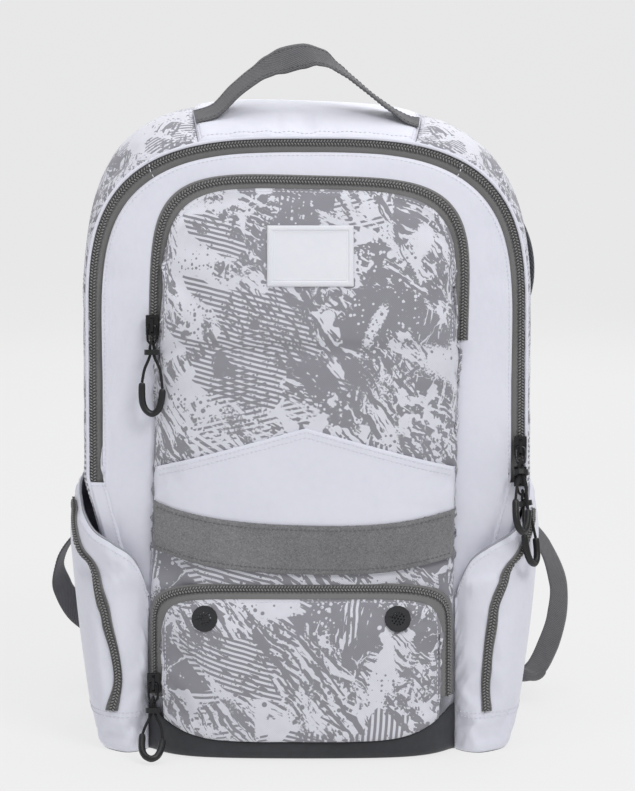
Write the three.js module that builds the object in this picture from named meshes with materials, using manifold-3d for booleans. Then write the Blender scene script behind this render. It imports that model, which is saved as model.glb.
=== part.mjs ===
// A bat backpack: a sewn main compartment with a zip round its front, a printed upper pocket,
// a bulged lower pocket with two vents, an open bat sleeve on each side, a web handle and two
// padded shoulder straps. Millimetres, +Z up, front towards -Y, origin on the floor under the base.
import * as THREE from "three";
import Module from "manifold-3d";
import { mergeVertices } from "three/addons/utils/BufferGeometryUtils.js";

const wasm = await Module();
wasm.setup();

// Driving sizes of the bag
const bodyWidth = 334; // across the main zip
const bodyDepth = 172; // main zip plane at the top to the back of the gusset
const frontReach = 74; // origin to the main zip plane at the top
const frontLean = 12; // how much further forward the zip plane is at the floor
const frontHeight = 465; // floor to the outer edge of the main zip
const crownRise = 21; // how far the top gusset climbs behind the zip
const crownLean = 3; // the crown is higher on the left by this each side
const shoulderHeight = 322; // where the straight sides turn into the round top
const sidePinch = 21; // how far a bat sleeve's weight draws the side in
const pinchTop = 206;
const pinchFoot = 128;
const frontCrown = 14; // swell of the front panel

// Cloth and gaps
const panelWall = 2.4; // padded panel
const clothWall = 1.6; // single cloth with its backing
const seamGap = 0.4; // between neighbouring pieces
const backPad = 9;

// Zips
const zipBand = 12; // from the gusset's edge to the edge of the panel inside it
const tapeWall = 1.0;
const tapeTuck = 3; // how far the tape runs under the panel
const coilWidth = 4.2;
const coilHeight = 1.6;
const mainZipFoot = 205; // lower ends of the main zip

// Upper pocket
const blockWidth = 229; // across both pockets
const upperZipWidth = 241; // its zip stands a little wider than the block
const upperZipTop = 436;
const upperZipCorner = 108; // height of its round corners
const upperZipFoot = 312;
const upperZipTilt = 3; // its top is higher on the left by this at its corner
const upperZipBand = 10;
const upperStand = 3.6; // pocket cloth's face above the front panel
const upperBulge = 15;
const chevronPeak = 249;
const chevronDrop = 32;
const chevronWall = 1.1;
const loopTapeTop = 189;
const loopTapeWidth = 37;
const loopTapeSag = 13;
const loopTapeTilt = 3; // higher on the left by this at its end
const loopTapeWall = 1.5;
const labelWidth = 65;
const labelHeight = 45;
const labelMiddleZ = 377;
const labelWall = 0.8;

// Middle of the pockets, which lean a little to the right as they go up
const lowMiddleX = -4.2;
const highMiddleX = 2.8;
const lowMiddleZ = 107;
const highMiddleZ = 384;

// Lower pocket
const lowerWidth = 230;
const lowerZipTop = 131.5;
const lowerZipCorner = 50;
const lowerZipFoot = 43;
const lowerZipBand = 10;
const lowerBulge = 13;
const ventRadius = 10;
const ventWall = 2.2;
const ventSpread = 72; // middle of the pocket to a vent
const ventHeight = 106.5;
const ventHole = 1.3; // across one small hole

// Base
const baseWall = 2.4;
const baseRim = 13.5; // height at the middle of the front
const baseCornerRise = 22; // extra height at the pocket's corners
const baseRound = 4;

// Bat sleeves
const sleeveHalfLeft = 181; // middle of the bag to the fullest part of a sleeve
const sleeveHalfRight = 177;
const sleeveFoot = 0.8;
const pullRoom = 88; // main zip foot down to the front of a sleeve's mouth
const sleeveMouthFront = mainZipFoot - pullRoom;
const sleeveMouthBack = 197;
const sleeveZipFoot = 32;
const sleeveZipBand = 12;

// Carry handle
const handleWidth = 25;
const handleWall = 1.8;
const handleRise = 48; // middle of its arch above its sewn ends
const handleSeat = 10; // length lying on the top gusset at each end

// Shoulder straps
const strapWidth = 64;
const strapPad = 12;
const strapReach = 40; // how far the straps stand off behind the back panel
const strapTopLeft = 470;
const strapTopRight = 460;
const strapFoot = 214;
const strapSpreadLeft = 151; // middle of the bag to the widest place of the pad's middle line
const strapSpreadRight = 156;
const webWidth = 25;
const webWall = 1.6;
const lockWidth = 34;
const lockHeight = 30;
const lockWall = 4;

// Zip pulls
const sliderWidth = 9.5;
const sliderLength = 15;
const sliderWall = 3.2;
const linkWire = 1.6;
const linkLength = 15;
const linkWidth = 8.6;
const linkHang = 1.7; // middle of the link's top bar above the slider
const cordThickness = 2.2;
const pullDrop = 57; // top of the cord loop to the bottom of the grip
const gripWidth = 20;
const gripHeight = 24;
const gripThickness = 5;

const bodyHalf = bodyWidth / 2;
const blockHalf = blockWidth / 2;
const lowerHalf = lowerWidth / 2;
const backY = bodyDepth - frontReach;
const sleeveHalf = (side) => (side < 0 ? sleeveHalfLeft : sleeveHalfRight);

// Exponents of the rounded outlines: a higher one has squarer corners
const frontPower = 3.15;
const crownPower = 3.3;
const upperPower = 4.3;
const lowerPower = 5.5;

// Sections of the gusset from the zip to the back: rise is a share of crownRise, spread in mm
// is a share of the side's swell, square is a share of the way from frontPower to crownPower.
const sideSwell = 1.5;
const gussetSections = [
  { depth: 0.0, rise: 0.0, spread: 0.0, square: 0.0 },
  { depth: 0.1, rise: 0.36, spread: 0.5, square: 0.35 },
  { depth: 0.2, rise: 0.7, spread: 0.8, square: 0.7 },
  { depth: 0.3, rise: 0.9, spread: 1.0, square: 0.9 },
  { depth: 0.45, rise: 1.0, spread: 1.0, square: 1.0 },
  { depth: 0.7, rise: 0.97, spread: 0.8, square: 1.0 },
  { depth: 1.0, rise: 0.84, spread: 0.0, square: 0.9 },
];

// Plan of a bat sleeve from its front seam round the corner to its back seam. out is a share of
// the reach from the front seam to the side, and back a share of the depth. The foot columns
// hold its plan on the floor.
const sleevePlan = [
  { round: 0.0, out: 0.0, back: 0.0, footOut: 0.0, footBack: 0.0 },
  { round: 0.1, out: 0.16, back: -0.045, footOut: 0.22, footBack: -0.055 },
  { round: 0.2, out: 0.44, back: -0.06, footOut: 0.5, footBack: -0.065 },
  { round: 0.3, out: 0.7, back: -0.005, footOut: 0.87, footBack: 0.015 },
  { round: 0.4, out: 0.88, back: 0.11, footOut: 0.98, footBack: 0.13 },
  { round: 0.52, out: 0.98, back: 0.29, footOut: 1.0, footBack: 0.34 },
  { round: 0.68, out: 1.0, back: 0.53, footOut: 1.0, footBack: 0.56 },
  { round: 0.84, out: 0.94, back: 0.78, footOut: 1.0, footBack: 0.79 },
  { round: 1.0, out: 0.94, back: 1.0, footOut: 1.0, footBack: 1.0 },
];
const sleeveClose = 0.84; // from here the plan turns in to the back seam

// Side of a sleeve by height: rise as a share of sleeveTop, reach as a share of its half width,
// full as a share of the way from the foot's plan to the full one.
const sleeveTop = 200;
const sleeveHeights = [
  { rise: 0, reach: 0.872, full: 0.0 },
  { rise: 0.045, reach: 0.886, full: 0.1 },
  { rise: 0.175, reach: 0.92, full: 0.4 },
  { rise: 0.32, reach: 0.947, full: 0.7 },
  { rise: 0.46, reach: 0.968, full: 0.9 },
  { rise: 0.66, reach: 0.99, full: 1.0 },
  { rise: 0.79, reach: 1.0, full: 1.0 },
  { rise: 0.9, reach: 0.985, full: 1.0 },
  { rise: 1, reach: 0.968, full: 1.0 },
];

// Mouth of a sleeve: rise is a share of the way from its front height to its back height.
const sleeveMouth = [
  { round: 0.0, rise: 0.0 },
  { round: 0.06, rise: 0.22 },
  { round: 0.12, rise: 0.4 },
  { round: 0.2, rise: 0.53 },
  { round: 0.3, rise: 0.64 },
  { round: 0.4, rise: 0.79 },
  { round: 0.52, rise: 0.92 },
  { round: 0.7, rise: 1.0 },
  { round: 1.0, rise: 1.0 },
];

// Middle line of the handle between its sewn ends: along from left to right, rise as a share
// of handleRise, and twist in degrees, 0 where the web lies flat and 90 where it faces forward.
const handleLine = [
  { along: 0.0, rise: 0.0, twist: 22 },
  { along: 0.09, rise: 0.11, twist: 25 },
  { along: 0.18, rise: 0.43, twist: 27 },
  { along: 0.27, rise: 0.69, twist: 30 },
  { along: 0.335, rise: 0.84, twist: 40 },
  { along: 0.4, rise: 0.93, twist: 53 },
  { along: 0.48, rise: 1.0, twist: 50 },
  { along: 0.56, rise: 0.99, twist: 31 },
  { along: 0.63, rise: 0.85, twist: 13 },
  { along: 0.7, rise: 0.67, twist: 5 },
  { along: 0.785, rise: 0.43, twist: 2 },
  { along: 0.87, rise: 0.21, twist: 5 },
  { along: 0.95, rise: 0.03, twist: 12 },
  { along: 1.0, rise: 0.0, twist: 15 },
];

// Middle line of a shoulder pad from its top: out as a share of the spread, back as a share of
// strapReach, drop as a share of the pad's height, and its width and thickness as shares.
const padLine = [
  { out: 0.3, back: -0.165, drop: 0.0, wide: 0.84, thick: 0.5 },
  { out: 0.42, back: 0.16, drop: 0.08, wide: 0.92, thick: 0.9 },
  { out: 0.6, back: 0.48, drop: 0.18, wide: 1.0, thick: 1.0 },
  { out: 0.8, back: 0.76, drop: 0.275, wide: 1.0, thick: 1.0 },
  { out: 0.95, back: 0.92, drop: 0.37, wide: 1.0, thick: 1.0 },
  { out: 0.99, back: 1.0, drop: 0.48, wide: 0.98, thick: 1.0 },
  { out: 0.93, back: 0.99, drop: 0.62, wide: 0.95, thick: 1.0 },
  { out: 0.8, back: 0.9, drop: 0.82, wide: 0.86, thick: 0.95 },
  { out: 0.78, back: 0.8, drop: 1.0, wide: 0.56, thick: 0.5 },
];

// Free webs from the shoulder pads round the outside to the lower back corners. out is a share
// of a sleeve's half width, back a share of strapReach, height a share of strapFoot, twist as the handle's.
const webLines = {
  left: [
    { out: 0.69, back: 0.84, height: 0.83, twist: 88 },
    { out: 0.76, back: 0.7, height: 0.76, twist: 60 },
    { out: 0.9, back: 0.48, height: 0.69, twist: 26 },
    { out: 1.05, back: 0.3, height: 0.61, twist: 8 },
    { out: 1.12, back: 0.2, height: 0.51, twist: 12 },
    { out: 1.11, back: 0.2, height: 0.41, twist: 34 },
    { out: 1.03, back: 0.26, height: 0.31, twist: 50 },
    { out: 0.91, back: 0.26, height: 0.25, twist: 60 },
    { out: 0.82, back: 0.1, height: 0.22, twist: 78 },
    { out: 0.74, back: 0.03, height: 0.2, twist: 90 },
  ],
  right: [
    { out: 0.73, back: 0.84, height: 0.83, twist: 88 },
    { out: 0.8, back: 0.66, height: 0.77, twist: 60 },
    { out: 0.94, back: 0.38, height: 0.69, twist: 20 },
    { out: 1.07, back: 0.16, height: 0.57, twist: 26 },
    { out: 1.13, back: -0.05, height: 0.43, twist: 38 },
    { out: 1.12, back: -0.3, height: 0.31, twist: 46 },
    { out: 1.075, back: -0.5, height: 0.2, twist: 52 },
    { out: 1.02, back: -0.6, height: 0.12, twist: 52 },
    { out: 0.97, back: -0.2, height: 0.1, twist: 60 },
    { out: 0.88, back: 0.12, height: 0.1, twist: 76 },
    { out: 0.78, back: 0.03, height: 0.1, twist: 90 },
  ],
};

const materials = {
  white: cloth(0xd9dbe5, 0.75),
  print: cloth(0xb9b9c1, 0.8),
  charcoal: cloth(0x3b3c40, 0.55),
  mesh: cloth(0x45484e, 0.9),
  web: cloth(0x6b6b6c, 0.85),
  tape: cloth(0x737273, 0.85),
  coil: cloth(0x555557, 0.5),
  loop: cloth(0x7f7f7e, 1.0),
  label: cloth(0xe9eaf0, 0.7),
  metal: new THREE.MeshStandardMaterial({ color: 0x161618, roughness: 0.35, metalness: 0.7 }),
  plastic: cloth(0x2b2c2c, 0.6),
};

function cloth(color, roughness) {
  return new THREE.MeshStandardMaterial({ color, roughness, metalness: 0 });
}

const root = new THREE.Group();

function add(name, geometry, material, parent = root) {
  const mesh = new THREE.Mesh(geometry, material);
  mesh.name = name;
  parent.add(mesh);
  return mesh;
}

// Small maths
const mix = (a, b, share) => a + (b - a) * share;
const clamp = (value) => Math.min(1, Math.max(0, value));
const ease = (value) => clamp(value) ** 2 * (3 - 2 * clamp(value));
const steps = (count, from = 0, to = 1) =>
  Array.from({ length: count + 1 }, (_, i) => mix(from, to, i / count));

/** A column of a table at a place between its rows, on a smooth curve through them. */
function readTable(rows, placeKey, column, place) {
  let i = rows.findIndex((row, k) => k > 0 && place <= row[placeKey]);
  if (i < 0) i = rows.length - 1;
  const slope = (k) => {
    const a = rows[Math.max(0, k - 1)];
    const b = rows[Math.min(rows.length - 1, k + 1)];
    return (b[column] - a[column]) / (b[placeKey] - a[placeKey]);
  };
  const [p, q] = [rows[i - 1], rows[i]];
  const span = q[placeKey] - p[placeKey];
  const t = clamp((place - p[placeKey]) / span);
  const bend = (2 * t ** 3 - 3 * t ** 2 + 1) * p[column] + (3 * t ** 2 - 2 * t ** 3) * q[column];
  return bend + span * ((t ** 3 - 2 * t ** 2 + t) * slope(i - 1) + (t ** 3 - t ** 2) * slope(i));
}

/** Half width at a height of an outline whose sides run straight up to a rounded top. */
function roundTop(z, half, straight, top, power) {
  const share = clamp((z - straight) / (top - straight));
  return half * Math.max(0, 1 - share ** power) ** (1 / power);
}

/** Height of the same outline at a half width. */
function roundTopHeight(x, half, straight, top, power) {
  const share = clamp(Math.abs(x) / half);
  return straight + (top - straight) * Math.max(0, 1 - share ** power) ** (1 / power);
}

/** Geometry from vertices and triangles, turned so that its faces point out. */
function closedGeometry(points, triangles) {
  let volume = 0;
  for (const [a, b, c] of triangles) {
    volume += points[a].dot(new THREE.Vector3().crossVectors(points[b], points[c]));
  }
  const turned = volume < 0 ? triangles.map(([a, b, c]) => [a, c, b]) : triangles;
  const geometry = new THREE.BufferGeometry().setFromPoints(points);
  geometry.setIndex(turned.flat());
  return geometry;
}

/** Closed solid between a curved face and its copy one wall behind. face(u, v) is a point for
 * u and v from 0 to 1, and facing(point) is a rough direction out of the face. */
function sheet(face, facing, wall, columns, rows) {
  const nudge = 1e-3;
  const outer = [];
  const inner = [];
  for (const v of rows) {
    for (const u of columns) {
      const point = face(u, v);
      const [u0, u1] = [Math.max(columns[0], u - nudge), Math.min(columns.at(-1), u + nudge)];
      const [v0, v1] = [Math.max(rows[0], v - nudge), Math.min(rows.at(-1), v + nudge)];
      const along = face(u1, v).sub(face(u0, v));
      const up = face(u, v1).sub(face(u, v0));
      const normal = along.cross(up).normalize();
      if (normal.dot(facing(point)) < 0) normal.negate();
      outer.push(point);
      inner.push(point.clone().addScaledVector(normal, -wall));
    }
  }
  const wide = columns.length;
  const high = rows.length;
  const shift = outer.length;
  const triangles = [];
  const quad = (a, b, c, d) => triangles.push([a, b, c], [a, c, d]);
  for (let j = 0; j + 1 < high; j++) {
    for (let i = 0; i + 1 < wide; i++) {
      const k = j * wide + i;
      quad(k, k + 1, k + wide + 1, k + wide);
      quad(shift + k, shift + k + wide, shift + k + wide + 1, shift + k + 1);
    }
  }
  for (let i = 0; i + 1 < wide; i++) {
    const k = (high - 1) * wide + i;
    quad(i + 1, i, shift + i, shift + i + 1);
    quad(k, k + 1, shift + k + 1, shift + k);
  }
  for (let j = 0; j + 1 < high; j++) {
    const [k, m] = [j * wide, j * wide + wide - 1];
    quad(k, k + wide, shift + k + wide, shift + k);
    quad(m + wide, m, shift + m, shift + m + wide);
  }
  return closedGeometry([...outer, ...inner], triangles);
}

/** Closed solid through rings of points, each ring with the same number of points. */
function loft(rings) {
  const sides = rings[0].length;
  const points = rings.flat();
  const triangles = [];
  for (let j = 0; j + 1 < rings.length; j++) {
    for (let i = 0; i < sides; i++) {
      const [a, b] = [j * sides + i, j * sides + ((i + 1) % sides)];
      // Both faces of a twisted band are split along the same diagonal, so they never cross
      if (2 * i < sides) triangles.push([a, b, b + sides], [a, b + sides, a + sides]);
      else triangles.push([a, b, a + sides], [b, b + sides, a + sides]);
    }
  }
  const last = (rings.length - 1) * sides;
  for (let i = 1; i + 1 < sides; i++) {
    triangles.push([0, i + 1, i], [last, last + i, last + i + 1]);
  }
  return closedGeometry(points, triangles);
}

/** Loft of one flat section along points. section holds [across, out] pairs, and frames(i)
 * gives the unit directions across and out at point i. */
function sweep(points, section, frames) {
  const rings = points.map((point, i) => {
    const { across, out, wide = 1, thick = 1 } = frames(i);
    return section.map(([a, b]) =>
      point.clone().addScaledVector(across, a * wide).addScaledVector(out, b * thick),
    );
  });
  return loft(rings);
}

/** A solid of manifold-3d from a geometry, and a geometry from such a solid. */
function toSolid(geometry) {
  const bare = new THREE.BufferGeometry();
  const flat = geometry.index ? geometry.toNonIndexed() : geometry;
  bare.setAttribute("position", flat.getAttribute("position").clone());
  const merged = mergeVertices(bare, 1e-3);
  return new wasm.Manifold(
    new wasm.Mesh({
      numProp: 3,
      vertProperties: new Float32Array(merged.attributes.position.array),
      triVerts: new Uint32Array(merged.index.array),
    }),
  );
}

function fromSolid(solid) {
  const mesh = solid.getMesh();
  const geometry = new THREE.BufferGeometry();
  geometry.setAttribute("position", new THREE.BufferAttribute(mesh.vertProperties, 3));
  geometry.setIndex(new THREE.BufferAttribute(mesh.triVerts, 1));
  return geometry;
}

const point = (x, y, z) => new THREE.Vector3(x, y, z);
const forward = () => point(0, -1, 0);

// Surfaces of the body

/** How far forward the edge of the gusset is at a height. */
const edgeY = (z) => -frontReach - frontLean * (1 - z / frontHeight);

/** Half width of the body's side at a height below the shoulder. */
function sideHalf(z, depth) {
  const swell = sideSwell * readTable(gussetSections, "depth", "spread", depth);
  return bodyHalf + swell - sidePinch * clamp((pinchTop - z) / (pinchTop - pinchFoot));
}

/** Round part of the body's outline at a depth share, from the top centre to the shoulder. */
function shoulderLine(depth) {
  const half = sideHalf(shoulderHeight, depth);
  const top = frontHeight + crownRise * readTable(gussetSections, "depth", "rise", depth);
  const power = mix(frontPower, crownPower, readTable(gussetSections, "depth", "square", depth));
  const corner = half * 0.5 ** (1 / power);
  const cornerZ = roundTopHeight(corner, half, shoulderHeight, top, power);
  const flat = steps(24, 0, corner).map((x) => ({
    x,
    z: roundTopHeight(x, half, shoulderHeight, top, power),
  }));
  const round = steps(24, cornerZ, shoulderHeight).map((z) => ({
    x: roundTop(z, half, shoulderHeight, top, power),
    z,
  }));
  return [...flat, ...round.slice(1)];
}

/** The point of a polyline at a share of its length. */
function alongLine(line, share) {
  const lengths = [0];
  for (let i = 1; i < line.length; i++) {
    lengths.push(lengths[i - 1] + Math.hypot(line[i].x - line[i - 1].x, line[i].z - line[i - 1].z));
  }
  const target = clamp(share) * lengths[lengths.length - 1];
  let i = lengths.findIndex((length) => length >= target);
  i = Math.max(1, i);
  const t = (target - lengths[i - 1]) / (lengths[i] - lengths[i - 1]);
  return { x: mix(line[i - 1].x, line[i].x, t), z: mix(line[i - 1].z, line[i].z, t) };
}

const panelFoot = baseRound + seamGap; // panels stand just above the base's floor
const outlines = new Map();

/** How far the crown drops at a place, because it is higher on the left. */
function leanDrop(x, z, depth) {
  const rise = readTable(gussetSections, "depth", "rise", depth);
  const high = clamp((z - shoulderHeight) / (frontHeight - shoulderHeight));
  return 2 * crownLean * (x / bodyHalf) * high * rise;
}

/** A point of the gusset: round is 0 at the top centre, 1 at the shoulder and 2 at the foot. */
function gussetPoint(side, round, depth) {
  const key = depth.toFixed(5);
  if (!outlines.has(key)) outlines.set(key, shoulderLine(depth));
  const straightZ = mix(shoulderHeight, panelFoot, round - 1);
  const straight = { x: sideHalf(straightZ, depth), z: straightZ };
  const { x, z } = round < 1 ? alongLine(outlines.get(key), round) : straight;
  return point(side * x, mix(edgeY(z), backY, depth), z - leanDrop(side * x, z, depth));
}

/** The round value of a height on the straight sides. */
const roundAt = (z) => 1 + (shoulderHeight - z) / (shoulderHeight - panelFoot);

/** Front panel's outer face. */
function frontY(x, z) {
  const fall = clamp((z - shoulderHeight) / (frontHeight - shoulderHeight));
  return edgeY(z) - frontCrown * (1 - clamp(Math.abs(x) / bodyHalf) ** 2) * (1 - fall ** 2);
}

/** Middle of the pockets at a height. */
const middleX = (z) =>
  mix(lowMiddleX, highMiddleX, clamp((z - lowMiddleZ) / (highMiddleZ - lowMiddleZ)));

/** How far the upper pocket's top drops at a place, because it is higher on the left. */
const upperDrop = (x, z) =>
  upperZipTilt * ((x - middleX(z)) / blockHalf) * clamp((z - upperZipFoot) / (upperZipTop - upperZipFoot));

/** Upper pocket's outer face. */
function upperY(x, z) {
  const across = 1 - clamp(Math.abs(x - middleX(z)) / blockHalf) ** 5;
  const up = ease((upperZipTop - z) / (upperZipTop - upperZipFoot));
  return frontY(x, z) - upperStand - upperBulge * across * up;
}

/** Lower pocket's outer face. */
function lowerY(x, z) {
  const across = 1 - clamp(Math.abs(x - middleX(z)) / lowerHalf) ** 8;
  const up = 1 - (1 - clamp((lowerZipTop - z) / lowerZipCorner)) ** 3;
  return upperY(x, z) - seamGap - clothWall - lowerBulge * across * up;
}

/** Height of the base's rim. */
const rimZ = (x) => baseRim + baseCornerRise * clamp(Math.abs(x - lowMiddleX) / lowerHalf) ** 5;

// Gusset panels: a white top between two printed sides
const topSeam = 0.312; // share of the round part where the handle's seam is
const seamShare = 0.0012; // half the gap between two gusset panels
const topHalfSpan = topSeam - seamShare;
const gussetDepths = [0, 0.1, 0.2, 0.3, 0.5, 0.75, 1];
const fromMiddle = (p) => point(p.x, 0, p.z - shoulderHeight / 2);

add(
  "top_gusset",
  sheet(
    (u, v) => {
      const round = mix(-topHalfSpan, topHalfSpan, u);
      return gussetPoint(Math.sign(round) || 1, Math.abs(round), v);
    },
    fromMiddle,
    panelWall,
    steps(8),
    gussetDepths,
  ),
  materials.white,
);
const sideRounds = [
  ...steps(7, topSeam + seamShare, 1),
  roundAt(mix(shoulderHeight, pinchTop, 0.5)),
  roundAt(pinchTop),
  roundAt(pinchFoot),
  2,
];
for (const [side, word] of [[-1, "left"], [1, "right"]]) {
  add(
    "gusset_" + word,
    sheet(
      (u, v) => gussetPoint(side, u, v),
      fromMiddle,
      panelWall,
      sideRounds,
      gussetDepths,
    ),
    materials.print,
  );
}

// Front and back panels: rows climb a rounded outline

/** Rows of a rounded panel, dense where the corners turn. */
function panelRows(foot, straight, lowRows) {
  const turns = [0.06, 0.2, 0.4, 0.62, 0.85, 1.08, 1.28, 1.42];
  return [
    ...steps(lowRows, foot, straight).map((z) => ({ z })),
    ...turns.map((turn) => ({ turn })),
  ];
}

/** Stations from 0 to 1 that stand closer together near both ends. */
const edged = (count) => steps(count, -1, 1).map((s) => 0.5 + 0.5 * s * (1.5 - 0.5 * s * s));

/** Sheet over a rounded panel. halfAt(z) is its half width below straight. */
function roundPanel({ foot, straight, top, half, halfAt, power, faceY, facing, wall, columns, lowRows, extraRows = [], middle = () => 0, drop = () => 0 }) {
  const rows = panelRows(foot, straight, lowRows);
  for (const z of extraRows) rows.push({ z });
  const placed = rows
    .map((row) => {
      if (row.turn === undefined) return { z: row.z, half: halfAt(row.z) };
      return {
        z: straight + (top - straight) * Math.sin(row.turn) ** (2 / power),
        half: half * Math.cos(row.turn) ** (2 / power),
      };
    })
    .sort((a, b) => a.z - b.z);
  const last = placed.length - 1;
  const face = (u, v) => {
    const at = clamp(v) * last;
    const i = Math.min(last - 1, Math.floor(at));
    const z = mix(placed[i].z, placed[i + 1].z, at - i);
    const half = mix(placed[i].half, placed[i + 1].half, at - i);
    const x = middle(z) + half * mix(-1, 1, u);
    return point(x, faceY(x, z), z - drop(x, z));
  };
  return sheet(face, facing, wall, edged(columns), steps(last));
}

const zipStep = 1.5; // the panel widens over this height at the zip's foot
const frontTop = frontHeight - zipBand;
const frontHalf = bodyHalf - zipBand;
const closedInset = panelWall + 2 * seamGap;
add(
  "front_panel",
  roundPanel({
    foot: panelFoot,
    straight: shoulderHeight,
    top: frontTop,
    half: frontHalf,
    halfAt: (z) =>
      sideHalf(z, 0) - mix(closedInset, zipBand, clamp((z - mainZipFoot + 2 * zipStep) / zipStep)),
    power: frontPower,
    faceY: frontY,
    facing: forward,
    wall: panelWall,
    columns: 8,
    lowRows: 3,
    extraRows: [pinchTop, mainZipFoot - 2 * zipStep, mainZipFoot - zipStep, pinchFoot],
  }),
  materials.white,
);

const backTop = frontHeight + crownRise * gussetSections[gussetSections.length - 1].rise;
const backCrown = 7;
add(
  "back_panel",
  roundPanel({
    foot: panelFoot,
    straight: shoulderHeight,
    top: backTop - closedInset,
    half: bodyHalf - closedInset,
    halfAt: (z) => sideHalf(z, 1) - closedInset,
    power: mix(frontPower, crownPower, gussetSections[gussetSections.length - 1].square),
    faceY: (x, z) => {
      const up = 1 - (2 * clamp((z - panelFoot) / (backTop - panelFoot)) - 1) ** 4;
      return backY + backCrown * up * (1 - clamp(Math.abs(x) / bodyHalf) ** 4);
    },
    drop: (x, z) => leanDrop(x, z, 1),
    facing: () => point(0, 1, 0),
    wall: backPad,
    columns: 6,
    lowRows: 3,
    extraRows: [pinchTop, pinchFoot],
  }),
  materials.mesh,
);

// Zips: a flat tape with a raised coil near its outer edge

/** Section of a coil, as pairs across and out. */
const coilSection = [
  [-coilWidth / 2, 0],
  [0, coilHeight],
  [coilWidth / 2, 0],
];

/** Tape and coil of a zip. place(along, across) is a point on the tape's face, and coilShare
 * says where between the tape's outer and inner edge the coil runs. */
function addZip(name, { place, facing, coilShare, stations }) {
  const ruled = (u, v) => place(u, 0).lerp(place(u, 1), v);
  add(
    name + "_tape",
    sheet(ruled, facing, tapeWall, stations, steps(1)),
    materials.tape,
  );
  const frames = stations.map((u, i) => {
    const tangent = ruled(stations[Math.min(stations.length - 1, i + 1)], coilShare);
    tangent.sub(ruled(stations[Math.max(0, i - 1)], coilShare)).normalize();
    const across = ruled(u, 1).sub(ruled(u, 0)).normalize();
    const out = new THREE.Vector3().crossVectors(tangent, across).normalize();
    if (out.dot(facing(ruled(u, coilShare))) < 0) out.negate();
    return { across: new THREE.Vector3().crossVectors(tangent, out).normalize(), out };
  });
  const centres = stations.map((u, i) =>
    ruled(u, coilShare).addScaledVector(frames[i].out, 1.5 * seamGap),
  );
  add(name + "_coil", sweep(centres, coilSection, (i) => frames[i]), materials.coil);
}

/** Line of a U zip: up the left side, over the rounded top and down the right side. */
function arch({ half, straight, top, power, foot, middle = () => 0 }) {
  const halfLine = (inset) => {
    const [h, t] = [half - inset, top - inset];
    const corner = h * 0.5 ** (1 / power);
    const cornerZ = roundTopHeight(corner, h, straight, t, power);
    return {
      over: steps(16, 0, corner).map((x) => ({ x, z: roundTopHeight(x, h, straight, t, power) })),
      round: steps(16, cornerZ, straight).map((z) => ({ x: roundTop(z, h, straight, t, power), z })),
    };
  };
  return (share, inset) => {
    const { over, round } = halfLine(inset);
    const straightX = (z) => (half === bodyHalf ? sideHalf(z, 0) - inset : half - inset);
    const down = steps(8, straight, foot).map((z) => ({ x: straightX(z), z }));
    const side = share < 0.5 ? -1 : 1;
    const line = [...over, ...round.slice(1), ...down.slice(1)];
    const at = alongLine(line, Math.abs(share - 0.5) * 2);
    return { x: middle(at.z) + side * at.x, z: at.z };
  };
}

/** Places on a U zip's tape from its line, its two insets and the surface under it. */
const onArch = (line, outerInset, innerInset, faceY, lift, drop = () => 0) => (along, across) => {
  const { x, z } = line(along, mix(outerInset, innerInset, across));
  return point(x, faceY(x, z) - lift, z - drop(x, z));
};

const mainLine = arch({
  half: bodyHalf,
  straight: shoulderHeight,
  top: frontHeight,
  power: frontPower,
  foot: mainZipFoot,
});
const mainInner = zipBand + tapeTuck;
addZip("main_zip", {
  place: onArch(mainLine, closedInset, mainInner, (x, z) => edgeY(z), -1.4),
  facing: forward,
  coilShare: (coilWidth / 2 + seamGap) / (mainInner - closedInset),
  stations: steps(34),
});

const upperLine = arch({
  half: upperZipWidth / 2,
  straight: upperZipTop - upperZipCorner,
  top: upperZipTop,
  power: upperPower,
  foot: upperZipFoot,
  middle: middleX,
});
addZip("upper_zip", {
  place: onArch(upperLine, 0, upperZipBand + tapeTuck, frontY, tapeWall + seamGap, upperDrop),
  facing: forward,
  coilShare: (coilWidth / 2 + 1) / (upperZipBand + tapeTuck),
  stations: steps(28),
});

const lowerLine = arch({
  half: lowerHalf,
  straight: lowerZipTop - lowerZipCorner,
  top: lowerZipTop,
  power: lowerPower,
  foot: lowerZipFoot,
  middle: middleX,
});
addZip("lower_zip", {
  place: onArch(lowerLine, 0, lowerZipBand + tapeTuck, lowerY, 0),
  facing: forward,
  coilShare: (coilWidth / 2 + 1) / (lowerZipBand + tapeTuck),
  stations: steps(28),
});

// Upper pocket and what is sewn on it
const upperFoot = lowerZipTop - lowerZipCorner; // its cloth runs down behind the lower zip
const upperHalf = upperZipWidth / 2 - upperZipBand;
add(
  "upper_pocket",
  roundPanel({
    foot: upperFoot,
    straight: upperZipTop - upperZipCorner,
    top: upperZipTop - upperZipBand,
    half: upperHalf,
    halfAt: (z) => mix(blockHalf, upperHalf, ease((z - upperZipFoot + 12) / 12)),
    power: upperPower,
    faceY: upperY,
    facing: forward,
    wall: clothWall,
    columns: 10,
    lowRows: 4,
    extraRows: [upperZipFoot, upperZipFoot - 12],
    middle: middleX,
    drop: upperDrop,
  }),
  materials.print,
);

/** A patch sewn flat on the upper pocket, between two edges given as heights over x. */
function patch(name, half, lower, upper, stand, wall, material, columns, rows) {
  add(
    name,
    sheet(
      (u, v) => {
        const off = mix(-half, half, u);
        const z = mix(lower(off), upper(off), v);
        const x = middleX(z) + off;
        return point(x, upperY(x, z) - stand - wall, z);
      },
      forward,
      wall,
      edged(columns),
      steps(rows),
    ),
    material,
  );
}

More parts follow.
